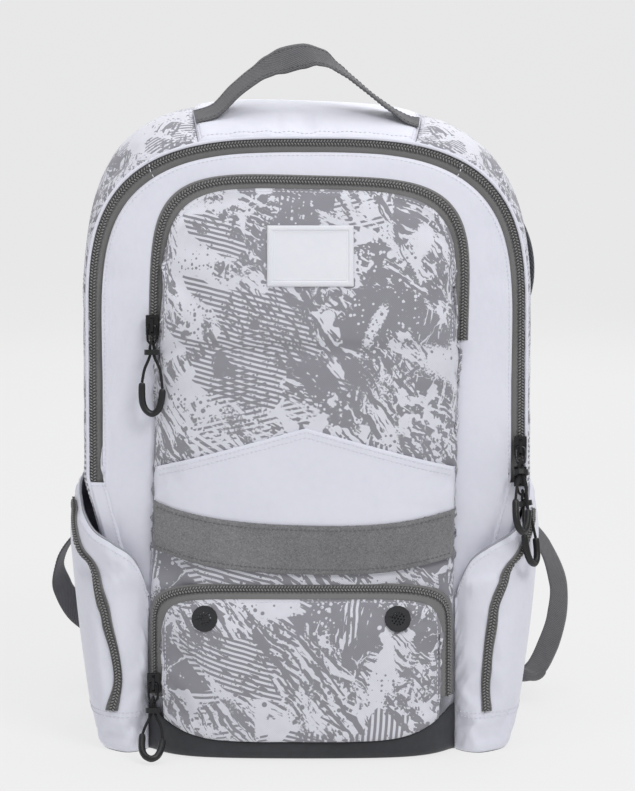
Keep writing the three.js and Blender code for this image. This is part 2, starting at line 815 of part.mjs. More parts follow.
const sag = (x) => loopTapeSag * (1 - Math.abs(x / blockHalf) ** 2.6);
const loopTopZ = (x) => loopTapeTop - sag(x) - loopTapeTilt * (x / blockHalf);
const chevronTuck = 6;
patch(
  "chevron_panel",
  blockHalf,
  (x) => loopTopZ(x) - chevronTuck,
  (x) => chevronPeak - chevronDrop * (Math.abs(x) / blockHalf),
  seamGap,
  chevronWall,
  materials.white,
  10,
  2,
);
patch(
  "loop_tape",
  blockHalf,
  (x) => loopTopZ(x) - loopTapeWidth,
  loopTopZ,
  2 * seamGap + chevronWall,
  loopTapeWall,
  materials.loop,
  10,
  1,
);
add(
  "label",
  sheet(
    (u, v) => {
      const z = labelMiddleZ + mix(-labelHeight / 2, labelHeight / 2, v);
      const x = middleX(labelMiddleZ) + mix(-labelWidth / 2, labelWidth / 2, u);
      return point(x, upperY(x, z) - seamGap - labelWall, z);
    },
    forward,
    labelWall,
    steps(4),
    steps(3),
  ),
  materials.label,
);

// Lower pocket: its cloth ends on the base's rim
const lowerInnerHalf = lowerHalf - lowerZipBand;
const lowerInnerTop = lowerZipTop - lowerZipBand;
const lowerStraight = lowerZipTop - lowerZipCorner;
const pocketProud = 3; // the pocket's cloth stands in front of its zip tape
const lowerFace = (x, z) => lowerY(x, z) - pocketProud;
const lowerPanelGrid = () => {
  const rows = [
    ...steps(4, 0, 1).map((share) => ({ share })),
    ...[0.16, 0.32, 0.5, 0.7, 0.9, 1.1, 1.28, 1.42].map((turn) => ({ turn })),
  ];
  const last = rows.length - 1;
  const place = (row, u) => {
    const side = mix(-1, 1, u);
    if (row.turn === undefined) {
      const x = lowMiddleX + side * lowerInnerHalf;
      return { x, z: mix(rimZ(x) + seamGap, lowerStraight, row.share) };
    }
    const x = lowMiddleX + side * lowerInnerHalf * Math.cos(row.turn) ** (2 / lowerPower);
    const climb = (lowerInnerTop - lowerStraight) * Math.sin(row.turn) ** (2 / lowerPower);
    return { x, z: lowerStraight + climb };
  };
  const face = (u, v) => {
    const at = clamp(v) * last;
    const i = Math.min(last - 1, Math.floor(at));
    const [a, b] = [place(rows[i], u), place(rows[i + 1], u)];
    const [x, z] = [mix(a.x, b.x, at - i), mix(a.z, b.z, at - i)];
    return point(x, lowerFace(x, z), z);
  };
  return sheet(face, forward, clothWall, edged(12), steps(last));
};
add("lower_pocket", lowerPanelGrid(), materials.print);

// Vents: a dished plastic disc with nineteen small holes
function ventGeometry() {
  const outline = new THREE.Shape();
  outline.absarc(0, 0, ventRadius, 0, 2 * Math.PI);
  const rings = [
    { count: 1, radius: 0 },
    { count: 6, radius: 0.24 * ventRadius },
    { count: 12, radius: 0.46 * ventRadius },
  ];
  for (const { count, radius } of rings) {
    for (let k = 0; k < count; k++) {
      const turn = (2 * Math.PI * k) / count;
      const [x, z] = [radius * Math.cos(turn), radius * Math.sin(turn)];
      const hole = new THREE.Path();
      const r = ventHole / 2;
      hole.moveTo(x + r, z).lineTo(x, z + r).lineTo(x - r, z).lineTo(x, z - r).closePath();
      outline.holes.push(hole);
    }
  }
  return new THREE.ExtrudeGeometry(outline, {
    depth: ventWall,
    bevelEnabled: false,
    curveSegments: 8,
  });
}

/** Outward normal of a face given as y over x and z. */
function faceNormal(faceY, x, z) {
  const d = 0.5;
  const slopeX = (faceY(x + d, z) - faceY(x - d, z)) / (2 * d);
  const slopeZ = (faceY(x, z + d) - faceY(x, z - d)) / (2 * d);
  return point(slopeX, -1, slopeZ).normalize();
}

/** Height of a curved face above the flat of a disc that touches it in the middle. */
function swellUnder(faceY, x, z, radius) {
  const normal = faceNormal(faceY, x, z);
  const middle = point(x, faceY(x, z), z);
  let highest = 0;
  for (const turn of steps(12, 0, 2 * Math.PI)) {
    for (const share of [0.5, 1]) {
      const [px, pz] = [x + share * radius * Math.cos(turn), z + share * radius * Math.sin(turn)];
      highest = Math.max(highest, point(px, faceY(px, pz), pz).sub(middle).dot(normal));
    }
  }
  return highest;
}

for (const [side, word] of [[-1, "left"], [1, "right"]]) {
  const x = lowMiddleX + side * ventSpread;
  const normal = faceNormal(lowerFace, x, ventHeight);
  const lift = seamGap + swellUnder(lowerFace, x, ventHeight, ventRadius);
  const seat = new THREE.Group();
  seat.position.copy(point(x, lowerFace(x, ventHeight), ventHeight).addScaledVector(normal, lift));
  seat.quaternion.setFromUnitVectors(point(0, 0, 1), normal);
  root.add(seat);
  add("vent_" + word, ventGeometry(), materials.plastic, seat);
}

// Bat sleeves

const sleeveStand = seamGap + clothWall;
const panTop = baseRim + baseCornerRise + 6; // height of the base's hidden walls
const baseStand = baseWall + seamGap; // the base wraps the foot of the panels
const baseHalf = bodyHalf + sideSwell - sidePinch + baseStand; // half width of its walls
const sleeveGap = 1.5; // between the pockets' side and the sleeve's front seam

/** Plan of a sleeve at a height: round runs from its front seam to its back seam. */
function sleevePoint(side, round, z) {
  const read = (name) => readTable(sleevePlan, "round", name, round);
  const tall = (name) => readTable(sleeveHeights, "rise", name, z / sleeveTop);
  const seamX = blockHalf + sleeveGap + side * middleX(z);
  const reach = sleeveHalf(side) * tall("reach") - seamX;
  const startY = frontY(seamX, z) - sleeveStand - baseStand;
  const endY = backY - 4;
  const out = mix(read("footOut"), read("out"), tall("full"));
  const back = mix(read("footBack"), read("back"), tall("full"));
  const closing = ease((round - sleeveClose) / (1 - sleeveClose));
  const bare = sideHalf(z, 0.8) + sleeveStand + seamGap;
  const endX = mix(baseHalf + sleeveStand, bare, ease((z - panTop) / 20));
  const x = mix(seamX + reach * out, endX, closing);
  return point(side * x, mix(startY, endY, back), z);
}

/** Height of a sleeve's mouth round its plan. */
const mouthZ = (round) =>
  mix(sleeveMouthFront, sleeveMouthBack, readTable(sleeveMouth, "round", "rise", clamp(round)));

function sleeveFace(side, round, v) {
  return sleevePoint(side, round, mix(sleeveFoot, mouthZ(round), v));
}

const sleeveRounds = [0, 0.05, 0.1, 0.15, 0.2, 0.25, 0.3, 0.35, 0.42, 0.52, 0.68, 0.84, 0.93, 1];
const sleeveLevels = [0, 0.08, 0.24, 0.46, 0.7, 0.88, 1];
/** Away from a place inside the sleeve. */
const sleeveFacing = (p) => point(p.x - Math.sign(p.x) * baseHalf, p.y - edgeY(0) / 2, 0);
for (const [side, word] of [[-1, "left"], [1, "right"]]) {
  add(
    "sleeve_" + word,
    sheet(
      (u, v) => sleeveFace(side, u, v),
      sleeveFacing,
      clothWall,
      sleeveRounds,
      sleeveLevels,
    ),
    materials.white,
  );
}

// Zips on the sleeves: an S-shaped line from the mouth's side down to the front
const sleeveZipLine = [
  { drop: 0.0, left: 0.5, right: 0.44 },
  { drop: 0.1, left: 0.42, right: 0.36 },
  { drop: 0.2, left: 0.36, right: 0.31 },
  { drop: 0.3, left: 0.31, right: 0.265 },
  { drop: 0.42, left: 0.265, right: 0.225 },
  { drop: 0.58, left: 0.24, right: 0.205 },
  { drop: 0.72, left: 0.21, right: 0.195 },
  { drop: 0.85, left: 0.2, right: 0.19 },
  { drop: 1.0, left: 0.23, right: 0.2 },
];
const sleeveZipGap = 5; // below the mouth
const roundPerMm = 1 / 260; // share of the sleeve's plan that a millimetre takes
for (const [side, word] of [[-1, "left"], [1, "right"]]) {
  const top = mouthZ(sleeveZipLine[0][word]) - sleeveZipGap;
  const at = (drop, shift, lift) => {
    const z = mix(top, sleeveZipFoot, drop);
    const round = readTable(sleeveZipLine, "drop", word, drop) + shift * roundPerMm;
    const here = sleevePoint(side, round, z);
    const along = sleevePoint(side, round + 0.002, z).sub(here);
    const up = sleevePoint(side, round, z + 0.5).sub(here);
    const normal = along.cross(up).normalize();
    if (normal.dot(point(side, -1, 0)) < 0) normal.negate();
    return here.addScaledVector(normal, lift);
  };
  addZip("sleeve_zip_" + word, {
    place: (along, across) => {
      const shift = mix(-sleeveZipBand / 2, sleeveZipBand / 2, across);
      return at(along, shift, 2 * seamGap + tapeWall + 0.3);
    },
    facing: sleeveFacing,
    coilShare: 0.5,
    stations: steps(16),
  });
}

// Base: a shallow pan whose front follows the lower pocket

/** Closed plan of the base's wall, grown or shrunk by a distance. */
function basePlan(grow) {
  const back = backY + 0.6 * backCrown + baseStand;
  const pocket = edged(14).map((share) => {
    const off = mix(-lowerHalf, lowerHalf, share);
    const x = lowMiddleX + off;
    return [x, lowerY(x, baseRim) + seamGap];
  });
  const beside = (side) =>
    steps(3, lowerHalf + 1 + side * lowMiddleX, baseHalf - baseStand).map((x) => [
      side * x,
      frontY(x, 0) - baseStand,
    ]);
  const turn = [
    [baseHalf, edgeY(0) + 2],
    [baseHalf, back - 8],
    [baseHalf - 3, back - 2],
    [baseHalf - 10, back],
  ];
  const mirrored = turn.map(([x, y]) => [-x, y]).reverse();
  const plan = [...mirrored, ...beside(-1).reverse(), ...pocket, ...beside(1), ...turn];
  return new wasm.CrossSection([plan]).offset(grow, "Miter", 2);
}

const slab = (plan, low, high) => plan.extrude(high - low).translate([0, 0, low]);
const walls = slab(basePlan(0), baseRound, panTop).subtract(
  slab(basePlan(-baseWall), baseRound - 1, panTop + 1),
);
const round = slab(basePlan(-baseRound / 4), baseRound / 3, baseRound).add(
  slab(basePlan(-baseRound), 0, baseRound / 3),
);
const hollow = slab(basePlan(-baseWall - baseRound / 4), baseWall, baseRound + 0.1);
const sleeveFloors = [-1, 1].map((side) => {
  const outline = steps(14).map((turn) => {
    const { x, y } = sleevePoint(side, turn, sleeveFoot);
    return [x, y];
  });
  const inner = [side * blockHalf, backY - 6];
  const plan = new wasm.CrossSection([side > 0 ? [...outline, inner] : [inner, ...outline.reverse()]]);
  return slab(plan.offset(-clothWall - 2 * seamGap, "Miter", 2), 0, baseWall);
});
const rimStations = steps(18, -sleeveHalfLeft, sleeveHalfLeft);
const rimShape = [
  ...rimStations.map((x) => [x, rimZ(x)]),
  [sleeveHalfLeft, panTop + 2],
  [-sleeveHalfLeft, panTop + 2],
];
const rimCutter = new wasm.CrossSection([rimShape])
  .extrude(4 * bodyDepth)
  .translate([0, 0, -2 * bodyDepth])
  .rotate([90, 0, 0]);
const basePan = walls.add(round).subtract(hollow).subtract(rimCutter);
add("base", fromSolid(basePan.add(sleeveFloors[0]).add(sleeveFloors[1])), materials.charcoal);

// Webs: flat bands that follow a line and twist about it

/** A flat band. twist 0 keeps its width along Y, and 90 turns its face to the front. */
function band(places, twists, width, wall) {
  const curve = new THREE.CatmullRomCurve3(places, false, "centripetal");
  const count = 3 * (places.length - 1);
  const centres = curve.getPoints(count);
  const section = [
    [-width / 2, -wall / 2],
    [width / 2, -wall / 2],
    [width / 2, wall / 2],
    [-width / 2, wall / 2],
  ];
  return sweep(centres, section, (i) => {
    const next = centres[Math.min(count, i + 1)];
    const before = centres[Math.max(0, i - 1)];
    const tangent = next.clone().sub(before).normalize();
    const at = (i / count) * (twists.length - 1);
    const low = Math.min(twists.length - 2, Math.floor(at));
    const twist = THREE.MathUtils.degToRad(mix(twists[low], twists[low + 1], ease(at - low)));
    const flatWise = point(0, 1, 0).addScaledVector(tangent, -tangent.y).normalize();
    const upWise = new THREE.Vector3().crossVectors(tangent, flatWise).normalize();
    const across = flatWise
      .multiplyScalar(Math.cos(twist))
      .addScaledVector(upWise, Math.sin(twist))
      .normalize();
    const out = new THREE.Vector3().crossVectors(tangent, across).normalize();
    return { across, out };
  });
}

// Carry handle, sewn in at both seams of the top gusset
const handleDepth = 0.2; // share of the gusset's depth where its middle line is sewn
const handleEndX = gussetPoint(1, topSeam, handleDepth).x - 1;

/** Height of the gusset over a place in plan. */
function topZ(x, y) {
  const depth = clamp((y - edgeY(frontHeight)) / (backY - edgeY(frontHeight)));
  const top = frontHeight + crownRise * readTable(gussetSections, "depth", "rise", depth);
  const power = mix(frontPower, crownPower, readTable(gussetSections, "depth", "square", depth));
  const z = roundTopHeight(x, sideHalf(shoulderHeight, depth), shoulderHeight, top, power);
  return z - leanDrop(x, z, depth);
}

/** Height at which the handle's web just clears the gusset under it. */
function seatZ(x, y, twist) {
  const turn = THREE.MathUtils.degToRad(twist);
  const clear = steps(6, -0.5, 0.5).map((share) => {
    const across = share * handleWidth;
    return topZ(x, y + across * Math.cos(turn)) - across * Math.sin(turn);
  });
  return Math.max(...clear) + handleWall / 2 / Math.cos(turn) + seamGap + 0.4;
}
const handleY = mix(edgeY(frontHeight), backY, handleDepth);
const handleFeet = [handleLine[0], handleLine.at(-1)].map(({ along, twist }) =>
  seatZ(mix(-handleEndX, handleEndX, along), handleY, twist),
);
const handlePlaces = handleLine.map(({ along, rise, twist }) => {
  const x = mix(-handleEndX, handleEndX, along);
  const z = mix(...handleFeet, along) + handleRise * rise;
  const seat = Math.abs(x) > handleEndX - handleSeat ? seatZ(x, handleY, twist) : z;
  return point(x, handleY, Math.max(z, seat));
});
add(
  "handle",
  band(handlePlaces, handleLine.map(({ twist }) => twist), handleWidth, handleWall),
  materials.web,
);

// Shoulder straps: a pad, a ladder lock and a free web on each side
const padSection = [
  [-0.5, -0.25],
  [-0.36, -0.5],
  [0.36, -0.5],
  [0.5, -0.25],
  [0.5, 0.25],
  [0.36, 0.5],
  [-0.36, 0.5],
  [-0.5, 0.25],
];
const backFace = backY + backCrown;
const lockDrop = 4;
for (const { side, word, spread, top } of [
  { side: -1, word: "left", spread: strapSpreadLeft, top: strapTopLeft },
  { side: 1, word: "right", spread: strapSpreadRight, top: strapTopRight },
]) {
  const places = padLine.map(({ out, back, drop }) =>
    point(side * spread * out, backFace + strapPad / 2 + strapReach * back, mix(top, strapFoot, drop)),
  );
  const curve = new THREE.CatmullRomCurve3(places, false, "centripetal");
  const count = 2 * (places.length - 1);
  const centres = curve.getPoints(count);
  const read = (i, key) => {
    const at = (i / count) * (padLine.length - 1);
    const low = Math.min(padLine.length - 2, Math.floor(at));
    return mix(padLine[low][key], padLine[low + 1][key], at - low);
  };
  add(
    "shoulder_pad_" + word,
    sweep(centres, padSection, (i) => {
      const next = centres[Math.min(count, i + 1)];
      const before = centres[Math.max(0, i - 1)];
      const tangent = next.clone().sub(before).normalize();
      const out = point(0, 1, 0).addScaledVector(tangent, -tangent.y).normalize();
      const across = new THREE.Vector3().crossVectors(tangent, out).normalize();
      return { across, out, wide: strapWidth * read(i, "wide"), thick: strapPad * read(i, "thick") };
    }),
    materials.mesh,
  );

  const foot = places[places.length - 1];
  const lockTop = foot.z - 1.4;
  const frame = new THREE.Shape([
    new THREE.Vector2(lockWidth / 2, 0),
    new THREE.Vector2(-lockWidth / 2, 0),
    new THREE.Vector2(-lockWidth / 2 + 2, -lockHeight),
    new THREE.Vector2(lockWidth / 2 - 2, -lockHeight),
  ]);
  for (const slotTop of [0.14, 0.56]) {
    const [top, low] = [-slotTop * lockHeight, -(slotTop + 0.28) * lockHeight];
    const inner = lockWidth / 2 - 4;
    const slot = new THREE.Path();
    slot.moveTo(-inner, top).lineTo(inner, top).lineTo(inner, low).lineTo(-inner, low).closePath();
    frame.holes.push(slot);
  }
  const lock = new THREE.ExtrudeGeometry(frame, { depth: lockWall, bevelEnabled: false });
  lock.rotateX(Math.PI / 2);
  lock.translate(foot.x, foot.y + lockWall / 2, lockTop);
  add("ladder_lock_" + word, lock, materials.plastic);

  const rows = webLines[word];
  const webStart = point(foot.x, foot.y - lockWall / 2 - seamGap - webWall / 2, lockTop - lockDrop - webWidth / 5);
  const free = rows.map(({ out, back, height }) =>
    point(side * sleeveHalfLeft * out, backFace + strapReach * back, strapFoot * height),
  );
  add(
    "web_" + word,
    band([webStart, ...free], [90, ...rows.map(({ twist }) => twist)], webWidth, webWall),
    materials.web,
  );
}

// Zip pulls: slider, link, cord loop with a collar, and a U-shaped grip

/** Slider with an arch over it that the link hangs in. Its front is +Z and it runs down -Y. */
function sliderGeometry() {
  const plate = new THREE.BoxGeometry(sliderWidth, sliderLength, sliderWall);
  plate.translate(0, 0, sliderWall / 2);
  const archHeight = linkWire + 2.6;
  const side = new THREE.Shape([
    new THREE.Vector2(-sliderLength * 0.42, -0.5),
    new THREE.Vector2(sliderLength * 0.42, -0.5),
    new THREE.Vector2(sliderLength * 0.3, archHeight),
    new THREE.Vector2(-sliderLength * 0.3, archHeight),
  ]);
  const hole = new THREE.Path();
  const [low, high, reach] = [0.3, archHeight - 1.2, sliderLength * 0.24];
  hole.moveTo(-reach, low).lineTo(reach, low).lineTo(reach, high).lineTo(-reach, high).closePath();
  side.holes.push(hole);
  const bridgeWidth = 0.22 * sliderWidth;
  const bridge = new THREE.ExtrudeGeometry(side, { depth: bridgeWidth, bevelEnabled: false });
  bridge.translate(0, 0, -bridgeWidth / 2);
  bridge.applyMatrix4(new THREE.Matrix4().makeBasis(point(0, 1, 0), point(0, 0, 1), point(1, 0, 0)));
  bridge.translate(0, 0, sliderWall);
  return fromSolid(toSolid(plate).add(toSolid(bridge)));
}

/** Flat ring, its top bar at the origin and hanging down -Y. */
function linkGeometry() {
  const ring = (half, length, top) => {
    const bevel = half * 0.5;
    return [
      [half - bevel, top],
      [-half + bevel, top],
      [-half, top - bevel],
      [-half, top - length + bevel],
      [-half + bevel, top - length],
      [half - bevel, top - length],
      [half, top - length + bevel],
      [half, top - bevel],
    ].map(([x, y]) => new THREE.Vector2(x, y));
  };
  const shape = new THREE.Shape(ring(linkWidth / 2, linkLength, linkWire / 2));
  const inner = linkWidth / 2 - linkWire;
  shape.holes.push(new THREE.Path(ring(inner, linkLength - 2 * linkWire, -linkWire / 2)));
  const geometry = new THREE.ExtrudeGeometry(shape, { depth: linkWire, bevelEnabled: false });
  geometry.translate(0, 0, -linkWire / 2);
  return geometry;
}

/** Half outline of the U grip's middle line, in shares of its half width and height. */
const gripLine = [
  { out: -1.0, down: 0.0 },
  { out: -1.0, down: 0.5 },
  { out: -0.75, down: 0.82 },
  { out: 0.0, down: 1.0 },
  { out: 0.55, down: 0.9 },
  { out: 0.95, down: 0.55 },
  { out: 1.05, down: 0.2 },
];

/** Round solid along places, as an extrusion of a many-sided shape. */
function roundAlong(places, radius, sides, count) {
  const ring = new THREE.Shape(
    steps(sides).slice(0, -1).map((turn) => {
      const angle = 2 * Math.PI * turn;
      return new THREE.Vector2(radius * Math.cos(angle), radius * Math.sin(angle));
    }),
  );
  const curve = new THREE.CatmullRomCurve3(places, false, "centripetal");
  return new THREE.ExtrudeGeometry(ring, { steps: count, extrudePath: curve });
}

/** One pull at a place on a zip. swing turns its hanging part sideways and lean turns it
 * forward, turn rolls its grip about the drop, and floor lays the grip down at that slope. */
function addPull(name, place, { swing = 0, lean = 0, turn = 0, lay = 0, short = 0 }) {
  const pull = new THREE.Group();
  pull.position.copy(place);
  pull.rotation.set(Math.PI / 2, 0, 0);
  root.add(pull);
  add(name + "_slider", sliderGeometry(), materials.metal, pull);

  const hang = new THREE.Group();
  hang.position.set(0, 0, sliderWall + linkHang);
  hang.rotation.set(THREE.MathUtils.degToRad(-lean), 0, THREE.MathUtils.degToRad(swing));
  pull.add(hang);
  add(name + "_link", linkGeometry(), materials.metal, hang);

  const barY = -linkLength + 1.5 * linkWire; // middle of the link's lower bar
  const r = cordThickness / 2;
  const clear = linkWire / 2 + r + seamGap;
  const eyeY = barY + clear;
  const neckY = barY - linkWire - 4;
  const gripTop = eyeY - pullDrop + gripHeight + short;
  const half = (gripWidth - gripThickness) / 2;
  const last = gripLine.at(-1);
  const layTurn = THREE.MathUtils.degToRad(lay);
  const roll = THREE.MathUtils.degToRad(turn);

  /** Turns a place below the collar by the pull's roll, and lays it forward below the hinge. */
  const settle = (x, y, z) => {
    const share = ease((neckY - 4 - y) / 8);
    const turned = point(x, y, z).applyAxisAngle(point(0, 1, 0), roll * share);
    const below = neckY - 6 - turned.y;
    if (below <= 0 || lay === 0) return turned;
    const hinge = point(0, neckY - 6, 0);
    return turned.sub(hinge).applyAxisAngle(point(1, 0, 0), -layTurn * ease(below / 14)).add(hinge);
  };
  const cordPlaces = [
    [-half, gripTop + seamGap, 0],
    [-half * 0.75, mix(gripTop, neckY, 0.4), 0],
    [-r - 0.3, neckY - 4, 0],
    [-r - 0.3, neckY + 1.5, 0.6 * clear],
    [-0.5 * r, barY, clear],
    [0, eyeY, 0],
    [0.5 * r, barY, -clear],
    [r + 0.3, neckY + 1.5, -0.6 * clear],
    [r + 0.3, neckY - 4, 0],
    [half * 0.8, mix(gripTop, neckY, 0.4), 0],
    [half * last.out, gripTop - gripHeight * last.down + seamGap, 0],
  ].map(([x, y, z]) => settle(x, y, z));
  add(name + "_cord", roundAlong(cordPlaces, r, 8, 20), materials.plastic, hang);

  const collarOuter = new THREE.Shape();
  collarOuter.absellipse(0, 0, 2 * cordThickness + 1.4, cordThickness + 1.8, 0, 2 * Math.PI);
  const collarHole = new THREE.Path();
  collarHole.absellipse(0, 0, cordThickness + 1.1, r + 1.6, 0, 2 * Math.PI, true);
  collarOuter.holes.push(collarHole);
  const collar = new THREE.ExtrudeGeometry(collarOuter, {
    depth: 4,
    bevelEnabled: false,
    curveSegments: 5,
  });
  collar.rotateX(-Math.PI / 2);
  collar.translate(0, neckY - 4, 0);
  add(name + "_collar", collar, materials.plastic, hang);

  const gripPlaces = gripLine.map(({ out, down }) =>
    settle(half * out, gripTop - gripHeight * down, 0),
  );
  add(name + "_grip", roundAlong(gripPlaces, gripThickness / 2, 8, 9), materials.plastic, hang);
}

const coilFront = tapeWall + 2 * seamGap + coilHeight;
const upperPullX = middleX(upperZipFoot) - (upperZipWidth / 2 - coilWidth / 2 - 1);
const upperPullZ = upperZipFoot + 12;
addPull(
  "upper_pull",
  point(upperPullX, frontY(upperPullX, upperPullZ) - coilFront - 0.8, upperPullZ),
  { lean: 5 },
);
const lowerPullX = lowMiddleX - (lowerHalf - coilWidth / 2 - 1);
const lowerPullZ = lowerZipFoot + 11;
addPull(
  "lower_pull",
  point(lowerPullX, lowerY(lowerPullX, lowerPullZ) - coilFront - 2.9, lowerPullZ),
  { lean: 8, lay: 45 },
);
const mainPullX = bodyHalf - closedInset - coilWidth / 2;
for (const { word, climb, stand, swing, lean, turn } of [
  { word: "main_pull_low", climb: 3, stand: 0.7, swing: 9, lean: 6, turn: 55 },
  { word: "main_pull_high", climb: 26, stand: -0.1, swing: 0, lean: 24, turn: 50 },
]) {
  const z = mainZipFoot + climb;
  addPull(word, point(mainPullX, edgeY(z) - coilHeight - stand, z), { swing, lean, turn });
}

export default root;
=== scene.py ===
"""Looks of a baseball bat backpack: cloth, print, zips, webbing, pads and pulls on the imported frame.

Places and sizes are worked out in millimetres, in the frame of the model: +Z up, front towards -Y,
origin on the floor under the base. Meshes are written in metres.
"""

from __future__ import annotations

import logging
import math
from dataclasses import dataclass, field
from enum import Enum
from typing import Callable, Sequence

import bpy
import numpy as np
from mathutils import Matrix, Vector
from mathutils.bvhtree import BVHTree


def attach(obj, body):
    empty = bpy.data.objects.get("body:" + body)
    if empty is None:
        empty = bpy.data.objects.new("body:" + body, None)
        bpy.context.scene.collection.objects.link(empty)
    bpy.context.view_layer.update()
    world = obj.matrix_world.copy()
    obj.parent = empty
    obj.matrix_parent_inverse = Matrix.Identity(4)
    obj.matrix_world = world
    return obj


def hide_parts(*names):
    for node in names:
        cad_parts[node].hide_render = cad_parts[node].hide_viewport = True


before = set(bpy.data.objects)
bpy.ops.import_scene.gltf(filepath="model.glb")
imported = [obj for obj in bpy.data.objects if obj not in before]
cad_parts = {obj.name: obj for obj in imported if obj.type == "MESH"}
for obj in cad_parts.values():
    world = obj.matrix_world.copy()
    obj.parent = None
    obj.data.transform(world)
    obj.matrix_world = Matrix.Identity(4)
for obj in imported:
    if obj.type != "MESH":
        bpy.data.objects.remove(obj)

Array = np.ndarray
Socket = bpy.types.NodeSocket
LOG = logging.getLogger("backpack")
MM = 0.001
SEED = 7


class Side(Enum):
    """The bag's two sides as the camera sees them."""

    LEFT = -1
    RIGHT = 1

    @property
    def word(self) -> str:
        """Word for the side in a piece's name."""
        return self.name.lower()


@dataclass(frozen=True)
class BagSizes:
    """Driving sizes of the bag in millimetres."""

    body_width: float = 334
    body_depth: float = 172
    front_reach: float = 74
    front_lean: float = 12
    front_height: float = 465
    crown_rise: float = 21
    crown_lean: float = 3
    shoulder: float = 322
    side_pinch: float = 21
    pinch_top: float = 206
    pinch_foot: float = 128
    front_crown: float = 14
    side_swell: float = 1.5
    panel_wall: float = 2.4
    cloth_wall: float = 1.6
    seam_gap: float = 0.4
    zip_band: float = 12
    tape_wall: float = 1.0
    tape_tuck: float = 3
    coil_width: float = 4.2
    coil_height: float = 1.6
    main_zip_foot: float = 205
    block_width: float = 229
    upper_zip_width: float = 241
    upper_zip_top: float = 436
    upper_zip_corner: float = 108
    upper_zip_foot: float = 312
    upper_zip_tilt: float = 3
    upper_zip_band: float = 10
    upper_stand: float = 3.6
    upper_bulge: float = 15
    chevron_peak: float = 249
    chevron_drop: float = 32
    loop_top: float = 189
    loop_width: float = 37
    loop_sag: float = 13
    loop_tilt: float = 3
    label_width: float = 65
    label_height: float = 45
    label_z: float = 377
    low_middle: float = -4.2
    high_middle: float = 2.8
    low_middle_z: float = 107
    high_middle_z: float = 384
    lower_width: float = 230
    lower_zip_top: float = 131.5
    lower_zip_corner: float = 50
    lower_zip_foot: float = 43
    lower_zip_band: float = 10
    lower_bulge: float = 13
    pocket_proud: float = 3
    vent_spread: float = 72
    vent_z: float = 106.5
    base_wall: float = 2.4
    base_rim: float = 13.5
    base_corner_rise: float = 22
    base_round: float = 4
    sleeve_left: float = 181
    sleeve_right: float = 177
    sleeve_foot: float = 0.8
    mouth_front: float = 117
    mouth_back: float = 197
    sleeve_zip_foot: float = 32
    sleeve_zip_band: float = 12
    back_crown: float = 7
    back_pad: float = 9
    front_power: float = 3.15
    crown_power: float = 3.3
    upper_power: float = 4.3
    lower_power: float = 5.5

    @property
    def body_half(self) -> float:
        """Half width across the main zip."""
        return self.body_width / 2

    @property
    def block_half(self) -> float:
        """Half width of the pockets."""
        return self.block_width / 2

    @property
    def lower_half(self) -> float:
        """Half width of the lower pocket's zip."""
        return self.lower_width / 2

    @property
    def back_y(self) -> float:
        """Where the gusset ends at the back."""
        return self.body_depth - self.front_reach

    @property
    def panel_foot(self) -> float:
        """Height of the panels' lower edge."""
        return self.base_round + self.seam_gap

    @property
    def base_stand(self) -> float:
        """How far the base stands outside the panels."""
        return self.base_wall + self.seam_gap

    @property
    def base_half(self) -> float:
        """Half width of the base's walls."""
        return self.body_half + self.side_swell - self.side_pinch + self.base_stand

    @property
    def sleeve_stand(self) -> float:
        """How far a sleeve's face stands off what is behind its seam."""
        return self.seam_gap + self.cloth_wall

    @property
    def closed_inset(self) -> float:
        """From the gusset's face to a panel that closes it."""
        return self.panel_wall + 2 * self.seam_gap


# Small maths

def mix(a: Array | float, b: Array | float, share: Array | float) -> Array:
    """Value between a and b at a share."""
    return a + (b - a) * share


def clamp(value: Array | float) -> Array:
    """Value kept from 0 to 1."""
    return np.clip(value, 0.0, 1.0)


def ease(value: Array | float) -> Array:
    """Smooth step from 0 to 1."""
    t = clamp(value)
    return t * t * (3 - 2 * t)


def read_table(table: dict[str, Sequence[float]], key: str, column: str, at: Array | float) -> Array:
    """Reads a column of a table on a smooth curve through its rows.

    Args:
        table: columns by name.
        key: the column that holds the places.
        column: the column to read.
        at: places to read it at.

    Returns:
        The column's values at those places.
    """
    p, v, at = np.asarray(table[key], float), np.asarray(table[column], float), np.asarray(at, float)
    low, high = np.maximum(np.arange(len(p)) - 1, 0), np.minimum(np.arange(len(p)) + 1, len(p) - 1)
    slope = (v[high] - v[low]) / (p[high] - p[low])
    i = np.clip(np.searchsorted(p, at), 1, len(p) - 1)
    span = p[i] - p[i - 1]
    t = clamp((at - p[i - 1]) / span)
    bend = (2 * t**3 - 3 * t**2 + 1) * v[i - 1] + (3 * t**2 - 2 * t**3) * v[i]
    return bend + span * ((t**3 - 2 * t**2 + t) * slope[i - 1] + (t**3 - t**2) * slope[i])


def round_top(z: Array, half: Array | float, straight: float, top: float, power: float) -> Array:
    """Half width at a height of an outline with straight sides and a rounded top."""
    return half * np.maximum(0.0, 1 - clamp((z - straight) / (top - straight)) ** power) ** (1 / power)


def round_top_height(x: Array, half: Array | float, straight: float, top: float, power: float) -> Array:
    """Height of that outline at a half width."""
    return straight + (top - straight) * np.maximum(0.0, 1 - clamp(np.abs(x) / half) ** power) ** (1 / power)


